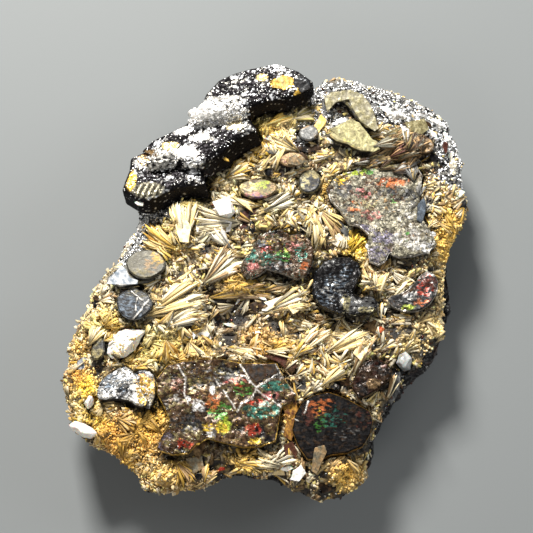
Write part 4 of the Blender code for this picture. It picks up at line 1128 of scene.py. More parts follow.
# Sheaves of blades, sizes in mm
bladeSettings = {
    "width": (0.12, 0.34), "thickness": (0.05, 0.12), "lift": 0.16, "layerLift": 0.34, "edgeWidth": 0.55,
    "lowestRoot": 6.3, "deepestDip": 0.9,      # so that no blade sinks out of sight
    "matLevel": 7.0, "edgeLevel": 8,           # the heights at which the face is looked up
    "darkShare": 0.13, "darkTone": 0.3, "rootShade": 0.45,
    # the short sheaves that fill the mat
    "fillTries": 1500, "fillLength": (0.8, 2.2), "fillBlades": (7, 15), "fillSpread": 45,
    "fillColours": "cream ivory straw straw tan ivory gold",
    # root pixel, heading, spread, length in pixels, blades, colours
    "main": [
        (186, 243, 96, 44, 38, 60, "cream ivory straw"),
        (182, 254, 150, 38, 42, 50, "gold straw ochre"),
        (243, 222, 180, 44, 46, 50, "ivory cream cream"), (203, 285, 42, 46, 48, 70, "cream ivory tan"),
        (208, 297, 18, 34, 56, 70, "straw gold tan"), (146, 316, 24, 46, 58, 80, "cream straw"),
        (158, 330, 28, 30, 46, 50, "cream straw ivory"),
        (166, 338, -80, 70, 22, 40, "ochre gold straw"), (190, 340, -70, 60, 22, 30, "straw cream"),
        (225, 345, -25, 24, 40, 24, "cream straw"), (308, 206, -126, 34, 42, 56, "straw gold tan"),
        (313, 207, -86, 36, 40, 60, "cream straw"), (318, 207, -42, 46, 34, 44, "tan straw"),
        (262, 313, 22, 28, 54, 60, "cream ivory straw"), (292, 358, 42, 24, 44, 44, "straw tan cream"),
        (322, 354, 28, 30, 46, 50, "cream straw"), (352, 374, 68, 24, 42, 40, "cream tan"),
        (378, 301, 95, 52, 34, 50, "cream straw"), (388, 270, -35, 34, 36, 36, "cream ivory"),
        (252, 206, 168, 26, 34, 30, "cream ivory"), (262, 212, 25, 24, 32, 24, "ivory cream"),
        (250, 290, 250, 30, 22, 12, "ivory cream"), (150, 345, -30, 40, 30, 36, "gold straw"),
        (232, 250, 130, 40, 26, 30, "white ivory"), (236, 262, 200, 34, 26, 26, "tan straw"),
        (255, 155, 152, 16, 26, 14, "gold straw"), (262, 126, 40, 50, 30, 40, "straw lemon gold"),
        (290, 118, 20, 40, 24, 30, "cream lemon"), (300, 150, 150, 50, 30, 36, "cream straw"),
        (275, 170, 60, 60, 24, 30, "cream straw"), (225, 178, 30, 60, 26, 36, "straw cream gold"),
        (232, 196, -40, 50, 24, 26, "cream straw"), (285, 190, 200, 50, 24, 24, "ivory cream"),
        (286, 462, 165, 36, 30, 36, "ivory cream"), (268, 462, 30, 40, 30, 36, "cream ivory"),
        (316, 470, 60, 40, 24, 30, "tan straw cream"), (305, 475, 120, 44, 24, 30, "cream tan"),
        (240, 458, -10, 30, 22, 20, "straw gold"), (176, 455, -60, 60, 26, 36, "gold tan"),
        (205, 480, 60, 80, 20, 24, "straw gold tan"), (280, 412, 96, 20, 38, 20, "cream straw"),
        (290, 395, 120, 24, 30, 20, "straw gold tan"), (345, 380, 150, 24, 30, 24, "cream tan"),
        (320, 385, 40, 30, 26, 26, "cream straw"), (390, 300, 30, 40, 26, 24, "cream straw"),
        (110, 330, 150, 60, 24, 36, "lemon straw"), (90, 345, 60, 50, 22, 30, "straw cream"),
        (100, 300, 20, 60, 18, 20, "cream tan"), (385, 400, 60, 40, 26, 24, "tan cream"),
        (400, 385, 70, 30, 22, 16, "straw"), (330, 455, 75, 20, 26, 14, "tan"),
        (390, 142, 20, 30, 28, 50, "tan olive"), (385, 155, 35, 30, 28, 50, "tan olive"),
        (405, 160, 60, 40, 26, 40, "tan ash"), (265, 350, -10, 40, 24, 20, "cream straw"),
        (250, 372, 120, 24, 20, 12, "cream"),
    ],
    # the same, lying over the edge of a plate
    "edge": [
        (366, 156, 30, 30, 22, 30, "tan umber oliveGrey"),
        (378, 152, 35, 40, 24, 34, "tan oliveGrey olive"),
        (374, 146, 20, 40, 22, 26, "oliveGrey tan stone"),
        (388, 156, 20, 40, 24, 34, "tan umber redBrown"),
        (392, 146, 50, 60, 20, 26, "olive tan oliveGrey"),
        (400, 156, 30, 50, 22, 30, "tan oliveGrey stone"),
        (384, 134, 10, 50, 18, 20, "olive oliveGrey tan"),
        (408, 154, 60, 60, 18, 22, "tan umber olive"), (412, 146, 100, 80, 14, 20, "tan olive umber"),
        (418, 158, 75, 60, 20, 30, "tan umber oliveGrey"),
        (424, 152, 100, 60, 16, 22, "tan oliveGrey umber"),
        (410, 152, 50, 50, 22, 30, "tan umber oliveGrey"),
        (352, 162, 15, 30, 18, 18, "oliveGrey ash umber"),
        (352, 166, 25, 40, 16, 16, "tan olive umber"), (366, 164, 10, 40, 18, 18, "tan olive ash"),
        (380, 168, 30, 50, 18, 22, "tan umber olive"), (394, 170, 20, 50, 18, 22, "tan ash umber"),
        (408, 168, 60, 60, 16, 18, "tan olive ash"), (398, 160, 40, 60, 22, 26, "tan olive tan"),
        (415, 180, 100, 60, 16, 16, "ash grey straw"), (420, 196, 80, 50, 14, 12, "ash grey"),
        (424, 214, 70, 50, 14, 14, "ash cream"), (428, 228, 40, 50, 14, 12, "cream straw"),
        (386, 138, 20, 60, 20, 18, "olive tan"), (408, 146, 70, 70, 18, 18, "tan olive ash"),
        (105, 340, 40, 80, 12, 14, "gold cream straw"), (135, 352, 60, 70, 12, 16, "gold straw"),
        (113, 352, -30, 60, 10, 12, "cream straw"),
    ],
}


def topAt(x, y):
    # the higher of the mat and what is set in it
    stands = [heightAt(x, y, tree) for tree in (matTree, plateTree)]
    return max([level for level in stands if level is not None], default=None)


def addSheaf(rng, store, x, y, heading, spread, length, blades, mix, overPlates=False):
    names = mix.split()
    root = heightAt(x, y, matTree)
    if root is None:
        return
    for _ in range(blades):
        angle = heading + spread * (rng.random() - 0.5) + rng.gauss(0, 1.5)
        start = length * rng.uniform(0.0, 0.35)
        reach = length * rng.uniform(0.72, 1.05) - start
        course = Vector((math.cos(math.radians(angle)), math.sin(math.radians(angle))))
        ax, ay = x + course.x * start, y + course.y * start
        bx, by = ax + course.x * reach, ay + course.y * reach
        if overPlates:
            near, far = topAt(ax, ay), topAt(bx, by)
        else:
            near, far = heightAt(ax, ay, matTree), heightAt(bx, by, matTree)
        if near is None or far is None:
            continue
        if not overPlates and (underPlate(bx, by) or underPlate((ax + bx) / 2, (ay + by) / 2)):
            continue
        if not overPlates and bareShare(np.array([[bx, by, bladeSettings["matLevel"]]]) * mm)[0] > 0.75:
            continue
        layer = rng.random()
        rise = bladeSettings["lift"] + bladeSettings["layerLift"] * layer
        near = max(near, bladeSettings["lowestRoot"]) + 0.5 * rise
        far = max(far, near - bladeSettings["deepestDip"]) + rise
        pitch = math.degrees(math.atan2(far - near, reach))
        width = rng.uniform(*bladeSettings["width"]) * (0.75 + 0.1 * length)
        if overPlates:
            width *= bladeSettings["edgeWidth"]
        thickness = rng.uniform(*bladeSettings["thickness"])
        store["turns"].append(turned(angle, pitch, rng.gauss(0, 16), (reach, width, thickness)))
        store["places"].append((ax, ay, near))
        # blades lower in the sheaf are painted darker, a painted shade under the ones above
        shade = np.array(colours[rng.choice(names)]) * rng.uniform(0.72, 1.12) * (0.8 + 0.25 * layer)
        if rng.random() < bladeSettings["darkShare"]:
            shade = shade * bladeSettings["darkTone"]
        store["tints"].append(np.clip(shade, 0, 1))


def makeSheaves():
    rng = random.Random(21)
    blade, chip = bladeShape(), chipShape()
    finish = rutileBladeFinish()
    shade = bladeSettings["rootShade"]
    store = {"turns": [], "places": [], "tints": []}
    for px, py, heading, spread, length, blades, names in bladeSettings["main"]:
        x, y = spot(px, py)
        length *= photo["mmPerPixel"]
        addSheaf(rng, store, x, y, heading, spread, length, blades, names)
    for px, py, heading, spread, length, blades, names in bladeSettings["edge"]:
        x, y = spot(px, py, bladeSettings["edgeLevel"])
        length *= photo["mmPerPixel"]
        addSheaf(rng, store, x, y, heading, spread, length, 2 * blades, names, True)
    pieces = [joinedCopies("rutileSheaves", blade, **store, withUv=True, rootShade=shade)]
    print("main blades", len(store["places"]))

    store = {"turns": [], "places": [], "tints": []}
    low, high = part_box("rutile_mat")
    for _ in range(bladeSettings["fillTries"]):
        x, y = rng.uniform(low.x, high.x) / mm, rng.uniform(low.y, high.y) / mm
        heading = 35 + 110 * noise.noise(Vector((x / 5, y / 5, 3.3))) + rng.gauss(0, 40)
        length = rng.uniform(*bladeSettings["fillLength"])
        if rng.random() < 0.35:
            heading += 180
        here = np.array([[x, y, bladeSettings["matLevel"]]]) * mm
        if underPlate(x, y) or silverShare(here)[0] > 0.3 or bareShare(here)[0] > 0.45:
            continue
        if granularShare(here)[0] > rng.uniform(0.25, 1.0):
            continue
        blades = rng.randint(*bladeSettings["fillBlades"])
        spread, mix = bladeSettings["fillSpread"], bladeSettings["fillColours"]
        addSheaf(rng, store, x, y, heading, spread, length, blades, mix)
    places = np.array(store["places"]) * mm
    store["tints"] = np.clip(zoneTints(places, np.array(store["tints"]), 0.85), 0, 1)
    pieces.append(joinedCopies("smallSheaves", chip, **store, withUv=True, rootShade=shade))
    print("small blades", len(store["places"]))
    for piece in pieces:
        settle(piece, finish, "rutile")


makeSheaves()


# Crumbs and grains over the skins

def scatterSpots(piece, count, rng, keep):
    # random spots on a mesh, by area: place, normal
    mesh = piece.data
    mesh.calc_loop_triangles()
    corners = np.empty(len(mesh.loop_triangles) * 3, np.int32)
    mesh.loop_triangles.foreach_get("vertices", corners)
    points = pointsOf(piece)[corners.reshape(-1, 3)] / mm
    cross = np.cross(points[:, 1] - points[:, 0], points[:, 2] - points[:, 0])
    size = np.linalg.norm(cross, axis=1)
    middle = points.mean(axis=1)
    normal = cross / np.maximum(size, 1e-12)[:, None]
    chance = size * keep(middle * mm, normal)
    chance /= chance.sum()
    picks = rng.choice(len(chance), size=count, p=chance)
    share = rng.random((count, 2))
    share = np.where(share.sum(axis=1, keepdims=True) > 1, 1 - share, share)
    first, second, third = points[picks, 0], points[picks, 1], points[picks, 2]
    places = first + share[:, :1] * (second - first) + share[:, 1:] * (third - first)
    return places, normal[picks]


def alignedTurns(normals, rng, sizes, tilt):
    # matrices that set each copy's Z near its normal, with a random twist
    count = len(normals)
    axis = normals + rng.normal(0, tilt, (count, 3))
    axis /= np.linalg.norm(axis, axis=1)[:, None]
    helper = np.where(np.abs(axis[:, 2:]) < 0.9, [[0, 0, 1.0]], [[1.0, 0, 0]])
    first = np.cross(helper, axis)
    first /= np.linalg.norm(first, axis=1)[:, None]
    second = np.cross(axis, first)
    twist = rng.random(count) * 2 * math.pi
    along = first * np.cos(twist)[:, None] + second * np.sin(twist)[:, None]
    across = np.cross(axis, along)
    turns = np.stack([along, across, axis], axis=2)
    return turns * sizes[:, None, :]


def palette(mix, rng, count, low=0.7, high=1.15):
    # random colours out of a mix, some brighter and some darker
    names = mix.split()
    made = np.array([colours[name] for name in names])[rng.integers(0, len(names), count)]
    return np.clip(made * rng.uniform(low, high, (count, 1)), 0, 1)


chipSettings = {
    "count": 9000, "length": (0.3, 1.1), "width": (0.12, 0.44),      # mm
    "colours": "cream ivory straw lemon ivory tan umber", "rootShade": 0.5,
}


def makeMatChips():
    # short broken blades all over the mat, neighbours pointing much the same way
    rng = np.random.default_rng(30)
    count = chipSettings["count"]

    def keep(points, normals):
        bladed = (1 - 0.95 * bareShare(points)) * (1 - 0.8 * granularShare(points))
        return (normals[:, 2] > 0.1) * (1 - 0.97 * silverShare(points)) * bladed

    places, normals = scatterSpots(mat, count, rng, keep)
    field = roughen(places * mm, 3.2, 2, 51.0)
    heading = np.radians(60 + 260 * field + rng.normal(0, 34, count))
    flat = np.c_[np.cos(heading), np.sin(heading), rng.normal(0.22, 0.25, count)]
    along = flat - normals * (flat * normals).sum(axis=1)[:, None] * 0.7
    along /= np.linalg.norm(along, axis=1)[:, None]
    across = np.cross(normals + rng.normal(0, 0.45, normals.shape), along)
    across /= np.linalg.norm(across, axis=1)[:, None]
    upward = np.cross(along, across)
    length = rng.uniform(*chipSettings["length"], count)
    width = rng.uniform(*chipSettings["width"], count)
    height = width * rng.uniform(0.35, 0.7, count)
    turns = np.stack([along * length[:, None], across * width[:, None], upward * height[:, None]], axis=2)
    places = places - along * length[:, None] * 0.4
    tints = zoneTints(places * mm, palette(chipSettings["colours"], rng, count), 0.9)
    tints = tints * rng.uniform(0.5, 1.25, (count, 1)) * (1 - 0.8 * shadeBelow(places * mm))[:, None]
    tints = np.clip(tints, 0, 1)
    shade = chipSettings["rootShade"]
    chips = joinedCopies("matChips", chipShape(), turns, places, tints, withUv=True, rootShade=shade)
    settle(chips, rutileBladeFinish(), "rutile")


# Where crumbs and grains lie: the chance at each point of a piece

def facingUp(points, normals):
    return (normals[:, 2] > 0.7) * 1.0


def onFace(points, normals):
    crusty = 0.3 + 0.4 * goldShare(points) + 2.2 * granularShare(points)
    golden = (1 - 0.97 * silverShare(points)) * (1 - 0.93 * bareShare(points))
    return (normals[:, 2] > 0.2) * golden * crusty


def onRim(points, normals):
    beside = (normals[:, 2] < 0.45) * (points[:, 2] > 4.9 * mm)
    return beside * (1 - 0.8 * silverShare(points)) * (1 - 0.9 * bareShare(points))


def onSlab(points, normals):
    return (points[:, 2] > 0.8 * mm) * 1.0


def inPockets(points, normals):
    return (points[:, 2] > 4.5 * mm) * bareShare(points) ** 2


def onSilver(points, normals):
    return silverShare(points) ** 1.5 * (points[:, 2] > 4.6 * mm)


def atSeams(points, normals):
    near = [reachOf(points, *seam, 8.8) < 1 for seam in crystalSettings["seams"][:2]]
    return np.any(near, axis=0) * (normals[:, 2] > -0.2)


def onCrystals(points, normals):
    striped = reachOf(points, *crystalSettings["striations"], 9.0) < 1.3
    return np.clip((normals[:, 2] - 0.6) * 4, 0, 1) * (1 - 0.97 * striped)


onPlates = {"kind": "crumb", "where": facingUp, "tilt": 0.6, "sink": 0.0, "bright": (0.5, 1.0)}
# piece: what it lies on and where there, sizes in mm
plateGrains = {
    "largePlateGrains": {
        **onPlates, "on": "largePlate", "count": 900, "seed": 950, "size": (0.05, 0.16),
        "colours": "stone ash white tan umber darkGrey oliveGrey black",
    },
    "crackedPlateGrains": {
        **onPlates, "on": "crackedPlate", "count": 520, "seed": 570, "size": (0.04, 0.13),
        "colours": "umber black gold white redBrown olive",
    },
    "quartzLeftGrains": {
        **onPlates, "on": "quartzLeft", "count": 45, "seed": 95, "size": (0.1, 0.36),
        "colours": "cream gold white straw",
    },
    "lobedPlateGrains": {
        **onPlates, "on": "lobedPlate", "count": 300, "seed": 350, "size": (0.04, 0.13),
        "colours": "umber black stone red olive teal",
    },
    "silverPlateGrains": {
        **onPlates, "on": "silverPlate", "count": 260, "seed": 310, "size": (0.08, 0.22),
        "colours": "silver white black blueGrey",
    },
    "blackOvalPlateGrains": {
        **onPlates, "on": "blackOvalPlate", "count": 70, "seed": 120, "size": (0.06, 0.16),
        "colours": "blueGrey black grey blueGrey",
    },
    "seamGrains": {
        "on": "thickCrystals", "where": atSeams, "kind": "platelet", "count": 900, "seed": 37,
        "size": (0.12, 0.34), "tilt": 0.6, "sink": 0.3, "bright": (0.85, 1.2),
        "colours": "white white silver ash",
    },
}
matGrains = {
    "matCrumbs": {
        "on": "rutileMat", "where": onFace, "kind": "crumb", "count": 9500, "seed": 31,
        "size": (0.12, 0.36), "tilt": 0.7, "sink": 0.1, "bright": (0.7, 1.15), "zoned": (0.8, 1.4),
        "colours": "cream straw tan umber umber",
    },
    "rimCrumbs": {
        "on": "rutileMat", "where": onRim, "kind": "crumb", "count": 3000, "seed": 32,
        "size": (0.12, 0.36), "tilt": 0.7, "sink": 0.1, "bright": (0.7, 1.15),
        "colours": "straw gold lemon tan cream",
    },
    "slabGrains": {
        "on": "hematiteSlab", "where": onSlab, "kind": "platelet", "count": 1800, "seed": 33,
        "size": (0.1, 0.34), "tilt": 0.5, "sink": 0.1, "bright": (0.7, 1.15),
        "colours": "black darkGrey darkGrey grey redBrown",
    },
    "darkGrains": {
        "on": "rutileMat", "where": inPockets, "kind": "platelet", "count": 1400, "seed": 36,
        "size": (0.1, 0.34), "tilt": 0.5, "sink": 0.1, "bright": (0.7, 1.15),
        "colours": "black black darkGrey grey umber redBrown ash",
    },
    "silverGrains": {
        "on": "rutileMat", "where": onSilver, "kind": "platelet", "count": 4200, "seed": 34,
        "size": (0.1, 0.34), "tilt": 0.6, "sink": 0.1, "bright": (0.8, 1.3),
        "colours": "silver silver white white ash black",
    },
    "crystalGrains": {
        "on": "thickCrystals", "where": onCrystals, "kind": "platelet", "count": 1200, "seed": 35,
        "size": (0.06, 0.17), "tilt": 0.5, "sink": 0.1, "bright": (0.8, 1.3),
        "colours": "silver silver white white ash black",
    },
}
grainKinds = {
    "crumb": (crumbShape(), crumbFinish(), "rutile"),
    "platelet": (plateletShape(), druseFinish(), "hematite"),
}
grainStart = 0.45      # mm over the floor, the lowest that a grain lies


def scatterPiece(pieceName, s):
    rng = np.random.default_rng(s["seed"])
    shape, finish, slotName = grainKinds[s["kind"]]
    count = s["count"]
    places, normals = scatterSpots(bpy.data.objects[s["on"]], count, rng, s["where"])
    sizes = rng.uniform(*s["size"], (count, 1)) * rng.uniform(0.7, 1.3, (count, 3))
    turns = alignedTurns(normals, rng, sizes, s["tilt"])
    places = places + normals * (sizes[:, 2:] * s["sink"])
    places[:, 2] = np.maximum(places[:, 2], grainStart)
    tints = palette(s["colours"], rng, count, *s["bright"])
    if "zoned" in s:
        tints = zoneTints(places * mm, tints) * rng.uniform(*s["zoned"], (count, 1))
        tints = np.clip(tints * (1 - 0.8 * shadeBelow(places * mm))[:, None], 0, 1)
    settle(joinedCopies(pieceName, shape, turns, places, tints), finish, slotName)


for pieceName, settings in plateGrains.items():
    scatterPiece(pieceName, settings)
makeMatChips()
for pieceName, settings in matGrains.items():
    scatterPiece(pieceName, settings)
print("crumbs and grains scattered")


# Broken flakes lying in the mat: pixel, heading, length and width in pixels, tilt, colour
flakeSettings = {
    "thickness": 0.3, "raise": 0.08, "level": 8,      # mm
    "tone": {"darkFlakes": 0.6, "paleFlakes": 0.8},
    "darkFlakes": [
        (222, 463, 20, 10, 4, 4, "red"), (252, 226, -75, 16, 6, 0, "black"),
        (431, 202, 60, 14, 6, 0, "black"), (436, 155, 20, 11, 9, 0, "black"),
        (448, 144, 100, 14, 6, 8, "redBrown"), (430, 120, 0, 12, 7, 0, "umber"),
        (290, 366, -30, 14, 6, 0, "umber"), (345, 378, 20, 16, 10, 0, "umber"),
        (135, 352, -20, 12, 6, 0, "paleOlive"), (440, 196, 0, 8, 5, 0, "umber"),
        (464, 203, 65, 20, 7, 30, "darkGrey"), (297, 135, -10, 14, 6, 0, "grey"),
        (275, 148, -5, 13, 8, 0, "olive"), (302, 152, -12, 18, 7, 0, "umber"),
        (312, 145, -30, 14, 6, 0, "black"), (383, 308, 30, 10, 6, 0, "grey"),
        (268, 170, -30, 8, 8, 0, "black"), (96, 302, 40, 9, 7, 0, "black"),
        (96, 296, 0, 7, 6, 0, "umber"), (225, 160, -28, 12, 3, 0, "gold"),
        (250, 155, -28, 26, 4, 8, "straw"), (247, 160, -28, 24, 3, 8, "gold"),
        (325, 245, 10, 8, 6, 0, "umber"), (200, 470, 20, 14, 6, 0, "black"),
        (210, 474, 30, 8, 5, 0, "white"),
    ],
    "paleFlakes": [
        (190, 332, -10, 16, 9, 6, "ash"), (207, 334, 20, 14, 8, 10, "cream"),
        (388, 106, -20, 14, 7, 0, "silver"), (422, 118, -20, 12, 6, 0, "silver"),
        (436, 133, -50, 13, 6, 0, "white"), (450, 130, -70, 14, 6, 0, "silver"),
        (455, 150, 80, 12, 6, 0, "white"), (462, 190, 30, 16, 7, 20, "ash"),
        (273, 135, 10, 18, 8, 0, "white"), (286, 462, 10, 16, 6, 10, "cream"),
        (185, 303, 30, 12, 7, 20, "cream"), (240, 295, 60, 22, 3, 10, "cream"),
        (250, 302, 25, 22, 3, 10, "cream"), (262, 296, -20, 12, 3, 0, "white"),
        (231, 322, -10, 16, 4, 8, "cream"), (255, 330, 0, 14, 3, 0, "cream"),
        (140, 205, 0, 10, 6, 0, "white"), (330, 137, -20, 12, 6, 0, "straw"),
        (316, 122, 50, 16, 6, 0, "straw"),
    ],
}


# how far each corner of a flake stands out
fiveCorners = (1.1, 0.8, 1.05, 0.7, 1.1)
sixCorners = (1.1, 0.75, 1.0, 1.1, 0.72, 0.9)


def flakeShape(corners):
    # an angular flake with a narrow bevel
    deselectAll()
    bpy.ops.mesh.primitive_cylinder_add(vertices=len(corners), radius=0.5, depth=1)
    flake = bpy.context.object
    points = pointsOf(flake)
    for index, corner in enumerate(corners):
        turn = np.degrees(np.arctan2(points[:, 1], points[:, 0])) - 90 + 360 * index / len(corners)
        ends = np.argsort(np.abs((turn + 180) % 360 - 180))[:2]      # above and below this corner
        points[ends, :2] *= corner
    movePoints(flake, points)
    bpy.ops.object.mode_set(mode="EDIT")
    bpy.ops.mesh.select_all(action="SELECT")
    bpy.ops.mesh.bevel(offset=0.03, segments=1)
    bpy.ops.object.mode_set(mode="OBJECT")
    return shapeArrays(flake)


def makeFlakes():
    rng = random.Random(71)
    shapes = (flakeShape(fiveCorners), flakeShape(sixCorners))
    step = photo["mmPerPixel"]
    finishes = {
        "darkFlakes": (plateFinish("darkFlakes", 0.3, 0.32, allPlates["speckle"]), "black_plate"),
        "paleFlakes": (milky, "quartz"),
    }
    for kind, (finish, slotName) in finishes.items():
        for number, shape in enumerate(shapes):
            turns, places, tints = [], [], []
            for px, py, heading, long, wide, tilt, colour in flakeSettings[kind][number::2]:
                x, y = spot(px, py, flakeSettings["level"])
                z = (topAt(x, y) or photo["faceLevel"]) + flakeSettings["raise"]
                size = (long * step, wide * step, flakeSettings["thickness"] * rng.uniform(0.8, 1.3))
                turns.append(turned(heading, tilt, rng.gauss(0, 9), size))
                places.append((x, y, z))
                tints.append(np.array(colours[colour]) * flakeSettings["tone"][kind])
            piece = joinedCopies(kind + "_" + str(number + 1), shape, turns, places, tints)
            smoothShade(piece, 20)
            settle(piece, finish, slotName)


makeFlakes()


# Thin scales lying on the larger plates
scaleSettings = {
    "flat": 0.16,      # thickness as a share of the size
    "upright": 2.2, "tilt": 0.12, "bright": (0.6, 1.5),
    # plate, scales, size in mm
    "plates": [
        ("large_plate", 520, (0.16, 0.62)), ("cracked_plate", 130, (0.2, 0.6)),
        ("lobed_plate", 90, (0.2, 0.55)), ("rainbow_edge_plate", 24, (0.2, 0.45)),
        ("brown_plate", 20, (0.2, 0.5)), ("silver_plate", 40, (0.2, 0.5)),
    ],
}


def makeScales():
    # each takes the paint of the plate below it, brighter or darker
    shape = flakeShape(sixCorners)
    c = scaleSettings
    for number, (nodeName, count, sizeRange) in enumerate(c["plates"]):
        plate = bpy.data.objects[camelName(nodeName)]
        rng = np.random.default_rng(170 + number)
        cracks = plateSettings[nodeName].get("cracks", [])

        def offCracks(points, normals):
            return (normals[:, 2] > 0.7) * (crackShare(points, cracks) < 0.05)

        places, normals = scatterSpots(plate, count, rng, offCracks)
        normals = normals + [0, 0, c["upright"]]
        normals /= np.linalg.norm(normals, axis=1)[:, None]
        size = rng.uniform(*sizeRange, (count, 1))
        sizes = size * np.c_[rng.uniform(0.6, 1.1, (count, 2)), np.full(count, c["flat"])]
        turns = alignedTurns(normals, rng, sizes, c["tilt"])
        painted = np.empty(len(plate.data.vertices) * 4)
        plate.data.color_attributes["tint"].data.foreach_get("color", painted)
        painted = painted.reshape(-1, 4)[:, :3]
        points = pointsOf(plate) / mm
        near = [np.argmin(((points - place) ** 2).sum(axis=1)) for place in places]
        tints = np.clip(painted[near] * rng.uniform(*c["bright"], (count, 1)), 0, 1)
        scales = joinedCopies(plate.name + "Scales", shape, turns, places, tints)
        smoothShade(scales, 20)
        settle(scales, plate.data.materials[0], plateSettings[nodeName]["slot"])


makeScales()
print("flakes made")


# White and grey lumps, on the steps between the thick crystals and in the silver rim
bankSettings = {
    "broad": 0.33, "grain": 0.12,      # how rough they are, as a share of the height and in mm
    # pixel, height over the floor or None, heading, half length and width in pixels, half height in mm,
    # main and second colour
    "lumps": [
        (216, 109, 9.05, 6, 28, 8, 0.75, "white", "white"),
        (238, 114, 8.8, -18, 9, 5, 0.75, "cream", "white"),
        (166, 160, 8.5, 12, 22, 6, 0.75, "ash", "black"),
        (190, 163, 8.3, 0, 12, 6, 0.75, "silver", "black"),
        (399, 113, None, -10, 11, 4, 0.35, "white", "ash"),
        (408, 130, None, -70, 8, 5, 0.4, "white", "ash"),
        (341, 120, None, 22, 12, 5, 0.35, "white", "silver"),
        (452, 138, None, 80, 8, 4, 0.4, "white", "ash"),
        (440, 118, None, -30, 8, 4, 0.35, "white", "ash"),
        (424, 112, None, -15, 7, 3, 0.35, "silver", "ash"),
        (456, 165, None, 85, 9, 4, 0.4, "ivory", "ash"),
        (142, 222, None, 50, 9, 4, 0.35, "white", "ash"),
        (128, 243, None, 45, 9, 4, 0.35, "ivory", "ash"),
    ],
}


def makeBanks():
    lumps = []
    step = photo["mmPerPixel"]
    for number, (px, py, z, heading, long, wide, high, first, second) in enumerate(bankSettings["lumps"]):
        deselectAll()
        bpy.ops.mesh.primitive_ico_sphere_add(subdivisions=5 if long > 15 else 4, radius=1)
        lump = bpy.context.object
        x, y = spot(px, py, z or photo["faceLevel"])
        z = z or topAt(x, y)
        size = (long * step * mm, wide * step * mm, high * mm)
        turn = -math.radians(heading)
        bpy.ops.object.mode_set(mode="EDIT")
        bpy.ops.transform.resize(value=size)
        bpy.ops.transform.rotate(value=turn, orient_axis="Z", center_override=(0, 0, 0))
        bpy.ops.transform.translate(value=(x * mm, y * mm, z * mm))
        bpy.ops.object.mode_set(mode="OBJECT")
        points, normals = pointsOf(lump), normalsOf(lump)
        broad, grain = roughen(points, 1.2, 3, 141.0 + number), roughen(points, 0.34, 3, 151.0 + number)
        lift = bankSettings["broad"] * high * broad + bankSettings["grain"] * grain
        points += normals * (mm * lift)[:, None]
        movePoints(lump, points)
        share = np.clip(0.35 - 1.6 * grain - 0.6 * broad, 0, 1)
        paint(lump, blend(np.array(colours[first]), second, share))
        lumps.append(lump)
    banks = joinPieces(lumps, "crystalBanks")
    smoothShade(banks, 30)
    settle(banks, thickCrystals.data.materials[0], "hematite")
    return banks


crystalBanks = makeBanks()
print("lumps made", len(crystalBanks.data.polygons))


